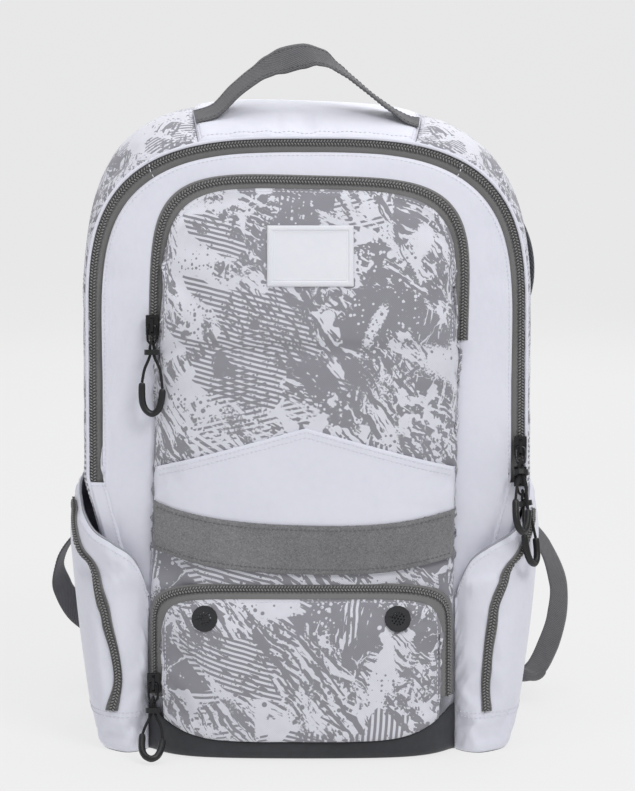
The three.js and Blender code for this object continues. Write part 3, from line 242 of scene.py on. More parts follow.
def catmull(points: Sequence[Sequence[float]], count: int) -> Array:
    """Points of a smooth curve through the given ones.

    Args:
        points: places that the curve passes.
        count: number of spans to cut it into.

    Returns:
        count + 1 points.
    """
    p = np.asarray(points, float)
    p = np.vstack([2 * p[0] - p[1], p, 2 * p[-1] - p[-2]])
    out = []
    for t in np.linspace(0, len(points) - 1, count + 1):
        i = min(int(t), len(points) - 2)
        w = t - i
        a, b, c, d = p[i : i + 4]
        da, db, dc = (max(np.linalg.norm(q - r), 1e-6) ** 0.5 for q, r in ((b, a), (c, b), (d, c)))
        m1 = ((b - a) / da - (c - a) / (da + db) + (c - b) / db) * db
        m2 = ((c - b) / db - (d - b) / (db + dc) + (d - c) / dc) * db
        out.append(b + m1 * w + (3 * c - 3 * b - 2 * m1 - m2) * w**2 + (2 * b - 2 * c + m1 + m2) * w**3)
    return np.array(out)


def spaced(path: Array, count: int) -> Array:
    """The same polyline with count evenly spaced points."""
    lengths = np.concatenate([[0], np.cumsum(np.linalg.norm(np.diff(path, axis=0), axis=1))])
    at = np.linspace(0, lengths[-1], count)
    return np.stack([np.interp(at, lengths, path[:, k]) for k in range(3)], axis=1)


def path_length(path: Array) -> float:
    """Length of a polyline."""
    return float(np.linalg.norm(np.diff(path, axis=0), axis=1).sum())


def unit(v: Array) -> Array:
    """Unit vectors along the last axis."""
    return v / np.maximum(np.linalg.norm(v, axis=-1, keepdims=True), 1e-9)


def soft_noise(shape: tuple[int, int], coarse: tuple[int, int], seed: int) -> Array:
    """Smooth random field from about -1 to 1 over a grid.

    Args:
        shape: rows and columns of the grid.
        coarse: rows and columns of the random values that it is blended from.
        seed: seed of the values.

    Returns:
        The field, shape as given.
    """
    values = np.random.default_rng(SEED + seed).normal(size=(coarse[0] + 3, coarse[1] + 3)) * 0.5
    v, u = np.linspace(0, coarse[0], shape[0]), np.linspace(0, coarse[1], shape[1])
    i, j = np.minimum(v.astype(int), coarse[0] - 1), np.minimum(u.astype(int), coarse[1] - 1)
    s, t = ease(v - i)[:, None], ease(u - j)[None, :]
    a, b = values[i][:, j], values[i][:, j + 1]
    c, d = values[i + 1][:, j], values[i + 1][:, j + 1]
    return mix(mix(a, b, t), mix(c, d, t), s)


def blurred(values: Array, passes: int) -> Array:
    """A grid of values smoothed by repeated averaging with its neighbours."""
    out = values.copy()
    for _ in range(passes):
        padded = np.pad(out, 1, mode="edge")
        out = (padded[:-2, 1:-1] + padded[2:, 1:-1] + padded[1:-1, :-2] + padded[1:-1, 2:] + 4 * out) / 8
    return out


# Tables of the bag's form, as shares of the named sizes

GUSSET = {
    "depth": [0.0, 0.1, 0.2, 0.3, 0.45, 0.7, 1.0],
    "rise": [0.0, 0.36, 0.7, 0.9, 1.0, 0.97, 0.84],
    "spread": [0.0, 0.5, 0.8, 1.0, 1.0, 0.8, 0.0],
    "square": [0.0, 0.35, 0.7, 0.9, 1.0, 1.0, 0.9],
}
SLEEVE_PLAN = {
    "round": [0.0, 0.1, 0.2, 0.3, 0.4, 0.52, 0.68, 0.84, 1.0],
    "out": [0.0, 0.16, 0.44, 0.7, 0.88, 0.98, 1.0, 0.94, 0.94],
    "back": [0.0, -0.045, -0.06, -0.005, 0.11, 0.29, 0.53, 0.78, 1.0],
    "foot_out": [0.0, 0.22, 0.5, 0.87, 0.98, 1.0, 1.0, 1.0, 1.0],
    "foot_back": [0.0, -0.055, -0.065, 0.015, 0.13, 0.34, 0.56, 0.79, 1.0],
}
SLEEVE_HEIGHTS = {
    "height": [0, 9, 35, 64, 92, 132, 158, 180, 200],
    "reach": [0.872, 0.886, 0.92, 0.947, 0.968, 0.99, 1.0, 0.985, 0.968],
    "full": [0.0, 0.1, 0.4, 0.7, 0.9, 1.0, 1.0, 1.0, 1.0],
}
SLEEVE_MOUTH = {
    "round": [0.0, 0.06, 0.12, 0.2, 0.3, 0.4, 0.52, 0.7, 1.0],
    "rise": [0.0, 0.22, 0.4, 0.53, 0.64, 0.79, 0.92, 1.0, 1.0],
}
SLEEVE_ZIP = {
    "drop": [0.0, 0.1, 0.2, 0.3, 0.42, 0.58, 0.72, 0.85, 1.0],
    "left": [0.5, 0.42, 0.36, 0.31, 0.265, 0.24, 0.21, 0.2, 0.23],
    "right": [0.44, 0.36, 0.31, 0.265, 0.225, 0.205, 0.195, 0.19, 0.2],
}


@dataclass(frozen=True)
class BagForm:
    """Surfaces of the bag, as functions of places on them."""

    s: BagSizes = BagSizes()

    def edge_y(self, z: Array) -> Array:
        """How far forward the gusset's edge is at a height."""
        return -self.s.front_reach - self.s.front_lean * (1 - z / self.s.front_height)

    def side_half(self, z: Array, depth: Array) -> Array:
        """Half width of the body's straight side."""
        s = self.s
        swell = s.side_swell * read_table(GUSSET, "depth", "spread", depth)
        return s.body_half + swell - s.side_pinch * clamp((s.pinch_top - z) / (s.pinch_top - s.pinch_foot))

    def crown(self, depth: float) -> tuple[float, float, float]:
        """Half width, top and exponent of the body's outline at a depth share."""
        s = self.s
        half = float(self.side_half(s.shoulder, depth))
        top = s.front_height + s.crown_rise * float(read_table(GUSSET, "depth", "rise", depth))
        power = float(mix(s.front_power, s.crown_power, read_table(GUSSET, "depth", "square", depth)))
        return half, top, power

    def lean_drop(self, x: Array, z: Array, depth: Array) -> Array:
        """How far the crown drops at a place, because it is higher on the left."""
        s = self.s
        high = clamp((z - s.shoulder) / (s.front_height - s.shoulder))
        return 2 * s.crown_lean * (x / s.body_half) * high * read_table(GUSSET, "depth", "rise", depth)

    def outline(self, rounds: Array, depth: float, inset: float = 0.0) -> tuple[Array, Array]:
        """Half width and height round the body's outline.

        Args:
            rounds: 0 at the top centre, 1 at the shoulder, 2 at the foot.
            depth: share of the way from the zip to the back.
            inset: how far inside the gusset's face, in millimetres.

        Returns:
            Half widths and heights.
        """
        s = self.s
        half, top, power = self.crown(depth)
        half, top = half - inset, top - inset
        corner = half * 0.5 ** (1 / power)
        x = np.linspace(0, corner, 60)
        z = np.linspace(float(round_top_height(corner, half, s.shoulder, top, power)), s.shoulder, 60)[1:]
        line_x = np.concatenate([x, round_top(z, half, s.shoulder, top, power)])
        line_z = np.concatenate([round_top_height(x, half, s.shoulder, top, power), z])
        run = np.concatenate([[0], np.cumsum(np.hypot(np.diff(line_x), np.diff(line_z)))])
        at = clamp(rounds) * run[-1]
        straight_z = mix(s.shoulder, s.panel_foot, rounds - 1)
        straight_x = self.side_half(straight_z, depth) - inset
        above = rounds < 1
        out_x = np.where(above, np.interp(at, run, line_x), straight_x)
        return out_x, np.where(above, np.interp(at, run, line_z), straight_z)

    def gusset(self, rounds: Array, depths: Array) -> Array:
        """Grid of points on the gusset; a negative round is on the left."""
        rows = []
        for depth in depths:
            x, z = self.outline(np.abs(rounds), float(depth))
            x = x * np.where(rounds < 0, -1, 1)
            y = mix(self.edge_y(z), self.s.back_y, depth)
            rows.append(np.stack([x, y, z - self.lean_drop(x, z, depth)], axis=1))
        return np.array(rows)

    def front_y(self, x: Array, z: Array) -> Array:
        """Front panel's face."""
        s = self.s
        fall = clamp((z - s.shoulder) / (s.front_height - s.shoulder))
        return self.edge_y(z) - s.front_crown * (1 - clamp(np.abs(x) / s.body_half) ** 2) * (1 - fall**2)

    def back_y(self, x: Array, z: Array) -> Array:
        """Back panel's outer face."""
        s = self.s
        top = s.front_height + s.crown_rise * GUSSET["rise"][-1]
        up = 1 - (2 * clamp((z - s.panel_foot) / (top - s.panel_foot)) - 1) ** 4
        return s.back_y + s.back_crown * up * (1 - clamp(np.abs(x) / s.body_half) ** 4)

    def middle(self, z: Array) -> Array:
        """Middle of the pockets at a height."""
        s = self.s
        share = clamp((z - s.low_middle_z) / (s.high_middle_z - s.low_middle_z))
        return mix(s.low_middle, s.high_middle, share)

    def upper_drop(self, x: Array, z: Array) -> Array:
        """How far the upper pocket's top drops, because it is higher on the left."""
        s = self.s
        up = clamp((z - s.upper_zip_foot) / (s.upper_zip_top - s.upper_zip_foot))
        return s.upper_zip_tilt * ((x - self.middle(z)) / s.block_half) * up

    def upper_y(self, x: Array, z: Array) -> Array:
        """Upper pocket's face."""
        s = self.s
        across = 1 - clamp(np.abs(x - self.middle(z)) / s.block_half) ** 5
        up = ease((s.upper_zip_top - z) / (s.upper_zip_top - s.upper_zip_foot))
        return self.front_y(x, z) - s.upper_stand - s.upper_bulge * across * up

    def lower_y(self, x: Array, z: Array) -> Array:
        """Face that the lower pocket's zip tape lies on."""
        s = self.s
        across = 1 - clamp(np.abs(x - self.middle(z)) / s.lower_half) ** 8
        up = 1 - (1 - clamp((s.lower_zip_top - z) / s.lower_zip_corner)) ** 3
        return self.upper_y(x, z) - s.seam_gap - s.cloth_wall - s.lower_bulge * across * up

    def lower_face(self, x: Array, z: Array) -> Array:
        """Lower pocket's face."""
        return self.lower_y(x, z) - self.s.pocket_proud

    def rim_z(self, x: Array) -> Array:
        """Height of the base's rim."""
        s = self.s
        return s.base_rim + s.base_corner_rise * clamp(np.abs(x - s.low_middle) / s.lower_half) ** 5

    def loop_top(self, off: Array) -> Array:
        """Height of the loop tape's upper edge, off the middle by a distance."""
        s = self.s
        sag = s.loop_sag * (1 - np.abs(off / s.block_half) ** 2.6)
        return s.loop_top - sag - s.loop_tilt * (off / s.block_half)

    def chevron_top(self, off: Array) -> Array:
        """Height of the chevron panel's upper edge."""
        return self.s.chevron_peak - self.s.chevron_drop * np.abs(off) / self.s.block_half

    def sleeve(self, side: Side, rounds: Array, z: Array) -> Array:
        """Points on a sleeve.

        Args:
            side: which sleeve.
            rounds: 0 at the front seam to 1 at the back seam.
            z: heights, as many as the rounds.

        Returns:
            Points, one for each pair.
        """
        s = self.s
        full = read_table(SLEEVE_HEIGHTS, "height", "full", z)
        half = s.sleeve_left if side is Side.LEFT else s.sleeve_right
        seam = s.block_half + 1.5 + side.value * self.middle(z)
        reach = half * read_table(SLEEVE_HEIGHTS, "height", "reach", z) - seam
        start = self.front_y(seam, z) - s.sleeve_stand - s.base_stand
        out = mix(*(read_table(SLEEVE_PLAN, "round", name, rounds) for name in ("foot_out", "out")), full)
        back = mix(*(read_table(SLEEVE_PLAN, "round", name, rounds) for name in ("foot_back", "back")), full)
        bare = self.side_half(z, 0.8) + s.sleeve_stand + s.seam_gap
        pan = s.base_rim + s.base_corner_rise + 6
        end = mix(s.base_half + s.sleeve_stand, bare, ease((z - pan) / 20))
        x = mix(seam + reach * out, end, ease((rounds - 0.84) / 0.16))
        return np.stack([side.value * x, mix(start, s.back_y - 4, back), z + 0 * x], axis=-1)

    def mouth_z(self, rounds: Array) -> Array:
        """Height of a sleeve's mouth."""
        rise = read_table(SLEEVE_MOUTH, "round", "rise", clamp(rounds))
        return mix(self.s.mouth_front, self.s.mouth_back, rise)


# Node groups and materials

class Nodes:
    """Short way to build a node tree."""

    def __init__(self, tree: bpy.types.NodeTree) -> None:
        """Keeps the tree that nodes go into."""
        self.tree = tree

    def add(self, kind: str, inputs: dict | None = None, **settings: object) -> bpy.types.Node:
        """Adds a node.

        Args:
            kind: the node's type name.
            inputs: values or sockets by input name or number.
            settings: properties of the node.

        Returns:
            The node.
        """
        node = self.tree.nodes.new(kind)
        for name, value in settings.items():
            setattr(node, name, value)
        for name, value in (inputs or {}).items():
            socket = node.inputs[name]
            if isinstance(value, Socket):
                self.tree.links.new(value, socket)
            else:
                socket.default_value = value
        return node

    def math(self, operation: str, a: object, b: object = 0.0, c: object = 0.0) -> Socket:
        """Output of a Math node."""
        return self.add("ShaderNodeMath", {0: a, 1: b, 2: c}, operation=operation).outputs[0]

    def ramp(self, value: object, low: float, high: float) -> Socket:
        """Value turned from low..high into 0..1, smoothly."""
        node = self.add("ShaderNodeMapRange", {0: value, 1: low, 2: high}, interpolation_type="SMOOTHSTEP")
        return node.outputs[0]

    def blend(self, share: object, a: object, b: object) -> Socket:
        """Colour between a and b."""
        node = self.add("ShaderNodeMix", {0: share, 6: a, 7: b}, data_type="RGBA")
        return node.outputs[2]

    def noise(self, vector: object, scale: float, detail: float = 2.0, distortion: float = 0.0) -> Socket:
        """Value of a noise texture."""
        return self.add(
            "ShaderNodeTexNoise", {"Vector": vector, "Scale": scale, "Detail": detail,
                                   "Distortion": distortion}
        ).outputs[0]

    def scaled(self, vector: object, scale: Sequence[float], turn: float = 0.0,
               shift: Sequence[float] = (0, 0, 0)) -> Socket:
        """A vector turned about Z and then scaled, so that a stretch runs along the turned way."""
        inverse = tuple(1 / part for part in scale)
        inputs = {0: vector, 1: shift, 2: (0, 0, math.radians(turn)), 3: inverse}
        return self.add("ShaderNodeMapping", inputs, vector_type="TEXTURE").outputs[0]


def group(name: str, inputs: Sequence[tuple[str, str, object]],
          outputs: Sequence[tuple[str, str]]) -> tuple[bpy.types.NodeTree, Nodes, dict, bpy.types.Node]:
    """Starts a shader node group.

    Args:
        name: the group's name.
        inputs: name, socket type and value of each input.
        outputs: name and socket type of each output.

    Returns:
        The tree, its builder, its input sockets by name, and its output node.
    """
    tree = bpy.data.node_groups.new(name, "ShaderNodeTree")
    for label, kind, value in inputs:
        socket = tree.interface.new_socket(name=label, in_out="INPUT", socket_type=kind)
        if value is not None:
            socket.default_value = value
    for label, kind in outputs:
        tree.interface.new_socket(name=label, in_out="OUTPUT", socket_type=kind)
    n = Nodes(tree)
    start, end = n.add("NodeGroupInput"), n.add("NodeGroupOutput")
    return tree, n, {s.name: s for s in start.outputs if s.name}, end


VECTOR, FLOAT = "NodeSocketVector", "NodeSocketFloat"


def weave_group() -> bpy.types.NodeTree:
    """Threads of a cloth: Height for bump and Thread, a mask of the raised threads."""
    tree, n, at, end = group(
        "weave", [("Vector", VECTOR, None), ("Pitch", FLOAT, 0.001), ("Twill", FLOAT, 0.0)],
        [("Height", FLOAT), ("Thread", FLOAT)],
    )
    turns = n.math("DIVIDE", 2 * math.pi, at["Pitch"])
    split = n.add("ShaderNodeSeparateXYZ", {0: at["Vector"]})
    u, v = (n.math("MULTIPLY", split.outputs[k], turns) for k in (0, 1))
    plain = n.math("MULTIPLY", n.math("SINE", u), n.math("SINE", v))
    twill = n.math("SINE", n.math("ADD", n.math("MULTIPLY", u, 0.7), n.math("MULTIPLY", v, 0.7)))
    both = n.add("ShaderNodeMix", {0: at["Twill"], 2: plain, 3: twill}).outputs[0]
    height = n.math("MULTIPLY_ADD", both, 0.5, 0.5)
    tree.links.new(height, end.inputs["Height"])
    tree.links.new(n.ramp(height, 0.25, 0.75), end.inputs["Thread"])
    return tree


def wear_group() -> bpy.types.NodeTree:
    """Soft unevenness of a used cloth: Shade darkens colour, Rough adds to roughness, Crease is for bump."""
    tree, n, at, end = group(
        "cloth_wear", [("Vector", VECTOR, None), ("Amount", FLOAT, 0.5)],
        [("Shade", FLOAT), ("Rough", FLOAT), ("Crease", FLOAT)],
    )
    broad = n.noise(at["Vector"], 14.0, 4.0, 0.6)
    fine = n.noise(at["Vector"], 160.0, 3.0)
    both = n.math("ADD", n.math("MULTIPLY", broad, 0.7), n.math("MULTIPLY", fine, 0.3))
    shade = n.math("MULTIPLY", n.ramp(both, 0.35, 0.75), at["Amount"])
    crease = n.noise(n.scaled(at["Vector"], (1.0, 0.45, 1.0), 12), 42.0, 3.0, 1.2)
    tree.links.new(shade, end.inputs["Shade"])
    tree.links.new(n.math("MULTIPLY", n.math("SUBTRACT", fine, 0.5), 0.25), end.inputs["Rough"])
    tree.links.new(crease, end.inputs["Crease"])
    return tree


def splatter_group() -> bpy.types.NodeTree:
    """Printed pattern of brush strokes, drips, dashes and dots: Ink is 1 where the print is grey."""
    tree, n, at, end = group("splatter_print", [("Vector", VECTOR, None)], [("Ink", FLOAT)])
    v = at["Vector"]
    ragged = n.math("MULTIPLY", n.math("SUBTRACT", n.noise(v, 520.0, 3.0), 0.5), 0.1)
    wander = n.add("ShaderNodeTexNoise", {"Vector": v, "Scale": 34.0, "Detail": 3.0}).outputs[1]

    def bent(turn: float, stretch: float, amount: float, shift: float) -> Socket:
        """The surface's places turned, stretched along one way and made to wander."""
        return n.add("ShaderNodeVectorMath", {
            0: n.scaled(v, (1.0, stretch, 1.0), turn, (shift, 0.6 * shift, 0)),
            1: n.scaled(wander, (amount, amount, amount)),
        }, operation="ADD").outputs[0]

    def field(scale: float, cut: float, shift: float, turn: float = 0.0) -> Socket:
        """Large areas with torn edges."""
        value = n.math("ADD", n.noise(n.scaled(v, (1.0, 0.7, 1.0), turn, (shift, 0, 0)), scale, 2.0, 0.8),
                       ragged)
        return n.ramp(value, cut, cut + 0.012)

    def scratches(turn: float, fine: float, cut: float, shift: float) -> Socket:
        """Dry brush marks that run one way."""
        value = n.noise(bent(turn, 0.09, 0.012, shift), fine, 2.0)
        return n.ramp(value, cut, cut + 0.02)

    def drips(turn: float, scale: float, width: float, shift: float) -> Socket:
        """Thin runs of paint that branch."""
        cells = n.add("ShaderNodeTexVoronoi", {"Vector": bent(turn, 0.4, 0.035, shift), "Scale": scale},
                      feature="DISTANCE_TO_EDGE").outputs[0]
        swell = n.math("MULTIPLY", n.ramp(n.noise(v, 55.0, 2.0), 0.35, 0.75), width)
        return n.math("SUBTRACT", 1.0, n.ramp(n.math("SUBTRACT", cells, swell), 0.0, 0.012))

    def wedges(scale: float, bands: float, turn: float, pick: float, shift: float) -> Socket:
        """Pointed patches filled with straight stripes."""
        moved = n.scaled(v, (1.0, 0.55, 1.0), turn, (shift, shift, 0))
        cells = n.add("ShaderNodeTexVoronoi", {"Vector": moved, "Scale": scale}, feature="F1",
                      distance="MANHATTAN").outputs[1]
        chosen = n.math("GREATER_THAN", n.add("ShaderNodeSeparateColor", {0: cells}).outputs[0], pick)
        stripe = n.add("ShaderNodeTexWave", {"Vector": n.scaled(v, (1, 1, 1), turn + 20),
                                             "Scale": bands}).outputs[1]
        return n.math("MULTIPLY", chosen, n.ramp(stripe, 0.42, 0.52))

    def dots(scale: float, size: float, patch: float, shift: float) -> Socket:
        """Round drops of mixed sizes, in clouds."""
        moved = n.scaled(v, (1, 1, 1), 0, (shift, shift, 0))
        cells = n.add("ShaderNodeTexVoronoi", {"Vector": moved, "Scale": scale}, feature="F1")
        random = n.add("ShaderNodeSeparateColor", {0: cells.outputs[1]}).outputs[0]
        radius = n.math("MULTIPLY", n.ramp(random, 0.2, 1.0), size)
        cloud = n.ramp(n.noise(moved, patch, 1.0), 0.42, 0.58)
        return n.ramp(n.math("SUBTRACT", n.math("MULTIPLY", radius, cloud), cells.outputs[0]), 0.0, 0.05)

    def without(ink: Socket, white: Socket) -> Socket:
        """Ink with a white mark left out of it."""
        return n.math("MULTIPLY", ink, n.math("SUBTRACT", 1.0, white))

    ink = field(11.0, 0.43, 0.35, 24)
    ink = without(ink, n.math("MULTIPLY", scratches(64, 330.0, 0.54, 0.9), field(21.0, 0.5, 1.9)))
    ink = without(ink, n.math("MULTIPLY", scratches(-12, 260.0, 0.55, 2.2), field(17.0, 0.54, 3.4)))
    ink = without(ink, n.math("MULTIPLY", drips(20, 17.0, 0.12, 0.2), field(15.0, 0.43, 5.2)))
    ink = without(ink, n.math("MULTIPLY", drips(-50, 28.0, 0.08, 1.3), field(17.0, 0.48, 7.7)))
    ink = without(ink, wedges(19.0, 62.0, 38, 0.87, 0.7))
    ink = without(ink, wedges(24.0, 80.0, 82, 0.9, 4.4))
    ink = without(ink, dots(330.0, 0.5, 22.0, 0.4))
    ink = without(ink, dots(120.0, 0.34, 30.0, 3.1))
    grey = n.math("MULTIPLY", scratches(38, 320.0, 0.52, 4.1), field(16.0, 0.49, 6.3))
    ink = n.math("MAXIMUM", ink, grey)
    ink = n.math("MAXIMUM", ink, wedges(21.0, 74.0, -24, 0.9, 2.9))
    ink = n.math("MAXIMUM", ink, wedges(26.0, 84.0, 55, 0.92, 8.3))
    ink = n.math("MAXIMUM", ink, dots(320.0, 0.45, 28.0, 1.7))
    ink = n.math("MAXIMUM", ink, dots(140.0, 0.3, 34.0, 6.1))
    tree.links.new(ink, end.inputs["Ink"])
    return tree


def colour(code: str, alpha: float = 1.0) -> tuple[float, float, float, float]:
    """Linear colour of a six-digit sRGB code."""
    parts = [int(code[i : i + 2], 16) / 255 for i in (0, 2, 4)]
    return (*(p / 12.92 if p <= 0.04045 else ((p + 0.055) / 1.055) ** 2.4 for p in parts), alpha)


class Pattern(Enum):
    """What a cloth's threads look like."""

    PLAIN = 0.0
    TWILL = 1.0


@dataclass(frozen=True)
class ClothFinish:
    """A woven cloth: two tones, its thread and how it wears."""

    name: str
    light: str
    dark: str
    pitch: float
    pattern: Pattern = Pattern.PLAIN
    roughness: float = 0.8
    sheen: float = 0.1
    wear: float = 0.25
    bump: float = 0.25
    contrast: float = 0.35
    crease: float = 0.15
    printed: str = ""

    def build(self, groups: dict[str, bpy.types.NodeTree]) -> bpy.types.Material:
        """Makes the material.

        Args:
            groups: the shared node groups by name.

        Returns:
            The material.
        """
        material, n, shader = new_material(self.name)
        at = n.add("ShaderNodeUVMap").outputs[0]
        weave = n.add("ShaderNodeGroup", node_tree=groups["weave"])
        wear = n.add("ShaderNodeGroup", node_tree=groups["cloth_wear"])
        for node in (weave, wear):
            n.tree.links.new(at, node.inputs["Vector"])
        weave.inputs["Pitch"].default_value = self.pitch
        weave.inputs["Twill"].default_value = self.pattern.value
        wear.inputs["Amount"].default_value = self.wear
        base = colour(self.light)
        if self.printed:
            art = n.add("ShaderNodeGroup", {"Vector": at}, node_tree=groups["splatter_print"])
            base = n.blend(art.outputs["Ink"], colour(self.light), colour(self.printed))
        shade = n.math("ADD", wear.outputs["Shade"],
                       n.math("MULTIPLY", weave.outputs["Thread"], self.contrast))
        dark = n.blend(0.75, base, colour(self.dark)) if self.printed else colour(self.dark)
        paint = n.blend(shade, base, dark)
        n.tree.links.new(paint, shader.inputs["Base Color"])
        rough = n.math("ADD", wear.outputs["Rough"], self.roughness)
        n.tree.links.new(rough, shader.inputs["Roughness"])
        shader.inputs["Sheen Weight"].default_value = self.sheen
        shader.inputs["Specular IOR Level"].default_value = 0.3
        crease = n.add("ShaderNodeBump", {"Strength": self.crease, "Distance": 0.002,
                                          "Height": wear.outputs["Crease"]})
        threads = n.add("ShaderNodeBump", {
            "Strength": self.bump, "Distance": self.pitch * 0.25,
            "Height": weave.outputs["Height"], "Normal": crease.outputs[0],
        })
        n.tree.links.new(threads.outputs[0], shader.inputs["Normal"])
        return material


@dataclass(frozen=True)
class HardFinish:
    """Moulded plastic, cord sheath or enamelled metal."""

    name: str
    base: str
    worn: str
    roughness: float
    metallic: float = 0.0
    coat: float = 0.0
    grain: float = 900.0
    bump: float = 0.12

    def build(self, groups: dict[str, bpy.types.NodeTree]) -> bpy.types.Material:
        """Makes the material.

        Args:
            groups: the shared node groups by name.

        Returns:
            The material.
        """
        material, n, shader = new_material(self.name)
        at = n.add("ShaderNodeTexCoord").outputs["Object"]
        wear = n.add("ShaderNodeGroup", {"Vector": at, "Amount": 0.6}, node_tree=groups["cloth_wear"])
        rubbed = n.blend(wear.outputs["Shade"], colour(self.base), colour(self.worn))
        n.tree.links.new(rubbed, shader.inputs["Base Color"])
        n.tree.links.new(n.math("ADD", wear.outputs["Rough"], self.roughness), shader.inputs["Roughness"])
        shader.inputs["Metallic"].default_value = self.metallic
        shader.inputs["Coat Weight"].default_value = self.coat
        grain = n.noise(at, self.grain, 2.0)
        bump = n.add("ShaderNodeBump", {"Strength": self.bump, "Distance": 0.0003, "Height": grain})
        n.tree.links.new(bump.outputs[0], shader.inputs["Normal"])
        return material


@dataclass(frozen=True)
class PileFinish:
    """Brushed loop pile: a matted fleece of tiny loops."""

    name: str
    base: str
    dark: str

    def build(self, groups: dict[str, bpy.types.NodeTree]) -> bpy.types.Material:
        """Makes the material.

        Args:
            groups: the shared node groups by name.

        Returns:
            The material.
        """
        material, n, shader = new_material(self.name)
        at = n.add("ShaderNodeUVMap").outputs[0]
        wear = n.add("ShaderNodeGroup", {"Vector": at, "Amount": 0.5}, node_tree=groups["cloth_wear"])
        tuft = n.noise(at, 900.0, 4.0, 1.5)
        mat = n.noise(at, 330.0, 3.0, 2.0)
        fleck = n.math("ADD", n.math("MULTIPLY", n.ramp(tuft, 0.3, 0.7), 0.6),
                       n.math("MULTIPLY", wear.outputs["Shade"], 0.5))
        n.tree.links.new(n.blend(fleck, colour(self.dark), colour(self.base)), shader.inputs["Base Color"])
        shader.inputs["Roughness"].default_value = 1.0
        shader.inputs["Sheen Weight"].default_value = 0.35
        shader.inputs["Specular IOR Level"].default_value = 0.1
        both = n.math("ADD", tuft, mat)
        bump = n.add("ShaderNodeBump", {"Strength": 0.9, "Distance": 0.0008, "Height": both})
        n.tree.links.new(bump.outputs[0], shader.inputs["Normal"])
        return material


def new_material(name: str) -> tuple[bpy.types.Material, Nodes, bpy.types.Node]:
    """A bare material with its shader.

    Args:
        name: the material's name.

    Returns:
        The material, a builder for its nodes, and its Principled shader.
    """
    material = bpy.data.materials.new(name)
    material.use_nodes = True
    material.node_tree.nodes.clear()
    n = Nodes(material.node_tree)
    shader, end = n.add("ShaderNodeBsdfPrincipled"), n.add("ShaderNodeOutputMaterial")
    n.tree.links.new(shader.outputs[0], end.inputs[0])
    return material, n, shader


FINISHES = {
    "white": ClothFinish("white_cloth", "E7E8F2", "C4C7D5", 0.0007, roughness=0.62, wear=0.2, contrast=0.12,
                         crease=0.22),
    "print": ClothFinish("printed_cloth", "E3E4EC", "A9A9B2", 0.0011, Pattern.TWILL, roughness=0.7,
                         contrast=0.22, printed="8B8A91"),
    "charcoal": ClothFinish("coated_cloth", "3D3E42", "2B2C2F", 0.0008, roughness=0.5, wear=0.5,
                            contrast=0.2, bump=0.2),
    "mesh": ClothFinish("spacer_mesh", "474B53", "1D1F23", 0.0026, roughness=0.9, contrast=0.75, bump=0.8,
                        sheen=0.25),
    "web": ClothFinish("webbing", "6B6B6E", "434346", 0.0016, Pattern.TWILL, roughness=0.75, contrast=0.5,
                       bump=0.5, sheen=0.2),
    "tape": ClothFinish("zip_tape", "838281", "6A6969", 0.0008, Pattern.TWILL, roughness=0.85, contrast=0.4,
                        bump=0.35),
    # Grey of the sleeves' mouth hem: partly the lining's own tone, partly painted shade in the gap at the
    # mouth.
    "lining": ClothFinish("lining", "A2A3AC", "8A8B94", 0.0008, roughness=0.8),
    "label": ClothFinish("woven_label", "EDEEF3", "D3D6E0", 0.0006, Pattern.TWILL, roughness=0.55,
                         contrast=0.45, bump=0.4, sheen=0.3),
    "thread": ClothFinish("white_thread", "E9E9F0", "B9BBC8", 0.0005, roughness=0.7, contrast=0.3),
    "grey_thread": ClothFinish("grey_thread", "6E6E70", "4A4A4C", 0.0005, roughness=0.7, contrast=0.3),
    "loop": PileFinish("loop_pile", "A3A3A5", "6A6A6C"),
    "coil": HardFinish("zip_coil", "878685", "979695", 0.45),
    # Flat dark grey of painted shade, laid in the gaps under the zip teeth and behind the vent holes.
    "bed": HardFinish("coil_bed", "4A4A4B", "5A5A5B", 0.7),
    "metal": HardFinish("black_enamel", "0F0F12", "222226", 0.28, metallic=0.6, coat=0.3),
    "plastic": HardFinish("moulded_plastic", "222326", "35363A", 0.5),
    "rubber": HardFinish("pull_grip", "101112", "202124", 0.42),
    "cord": HardFinish("cord_sheath", "0E0E10", "202023", 0.75, grain=2600.0, bump=0.5),
}


# Meshes

Place = Callable[[Array, Array], Array]
FORWARD = np.array([0.0, -1.0, 0.0])
BACKWARD = np.array([0.0, 1.0, 0.0])


def grid_normals(grid: Array, outward: Array) -> tuple[Array, bool]:
    """Unit normals of a grid of points.

    Args:
        grid: rows by columns by 3.
        outward: vectors that the normals should go with, one or as many as the points.

    Returns:
        The normals, and whether the grid's own order faces the other way.
    """
    normal = unit(np.cross(np.gradient(grid, axis=1), np.gradient(grid, axis=0)))
    flipped = bool((normal * outward).sum() < 0)
    return (-normal if flipped else normal), flipped


def flat_uv(grid: Array) -> Array:
    """Lengths along the rows and columns of a grid, in metres, as texture places."""
    u = np.zeros(grid.shape[:2])
    v = np.zeros(grid.shape[:2])
    u[:, 1:] = np.cumsum(np.linalg.norm(np.diff(grid, axis=1), axis=2), axis=1)
    v[1:] = np.cumsum(np.linalg.norm(np.diff(grid, axis=0), axis=2), axis=0)
    u -= u[:, [grid.shape[1] // 2]]
    return np.stack([u, v], axis=2) * MM


def edge_distance(grid: Array) -> tuple[Array, Array]:
    """How far each point is from the side edges and from the end edges, in millimetres."""
    uv = flat_uv(grid) / MM
    u, v = uv[..., 0], uv[..., 1]
    return np.minimum(u - u[:, :1], u[:, -1:] - u), np.minimum(v - v[:1], v[-1:] - v)


def quads_of(index: Array) -> Array:
    """Faces between the rows and columns of a grid of vertex numbers."""
    return np.stack([index[:-1, :-1], index[:-1, 1:], index[1:, 1:], index[1:, :-1]], axis=2).reshape(-1, 4)


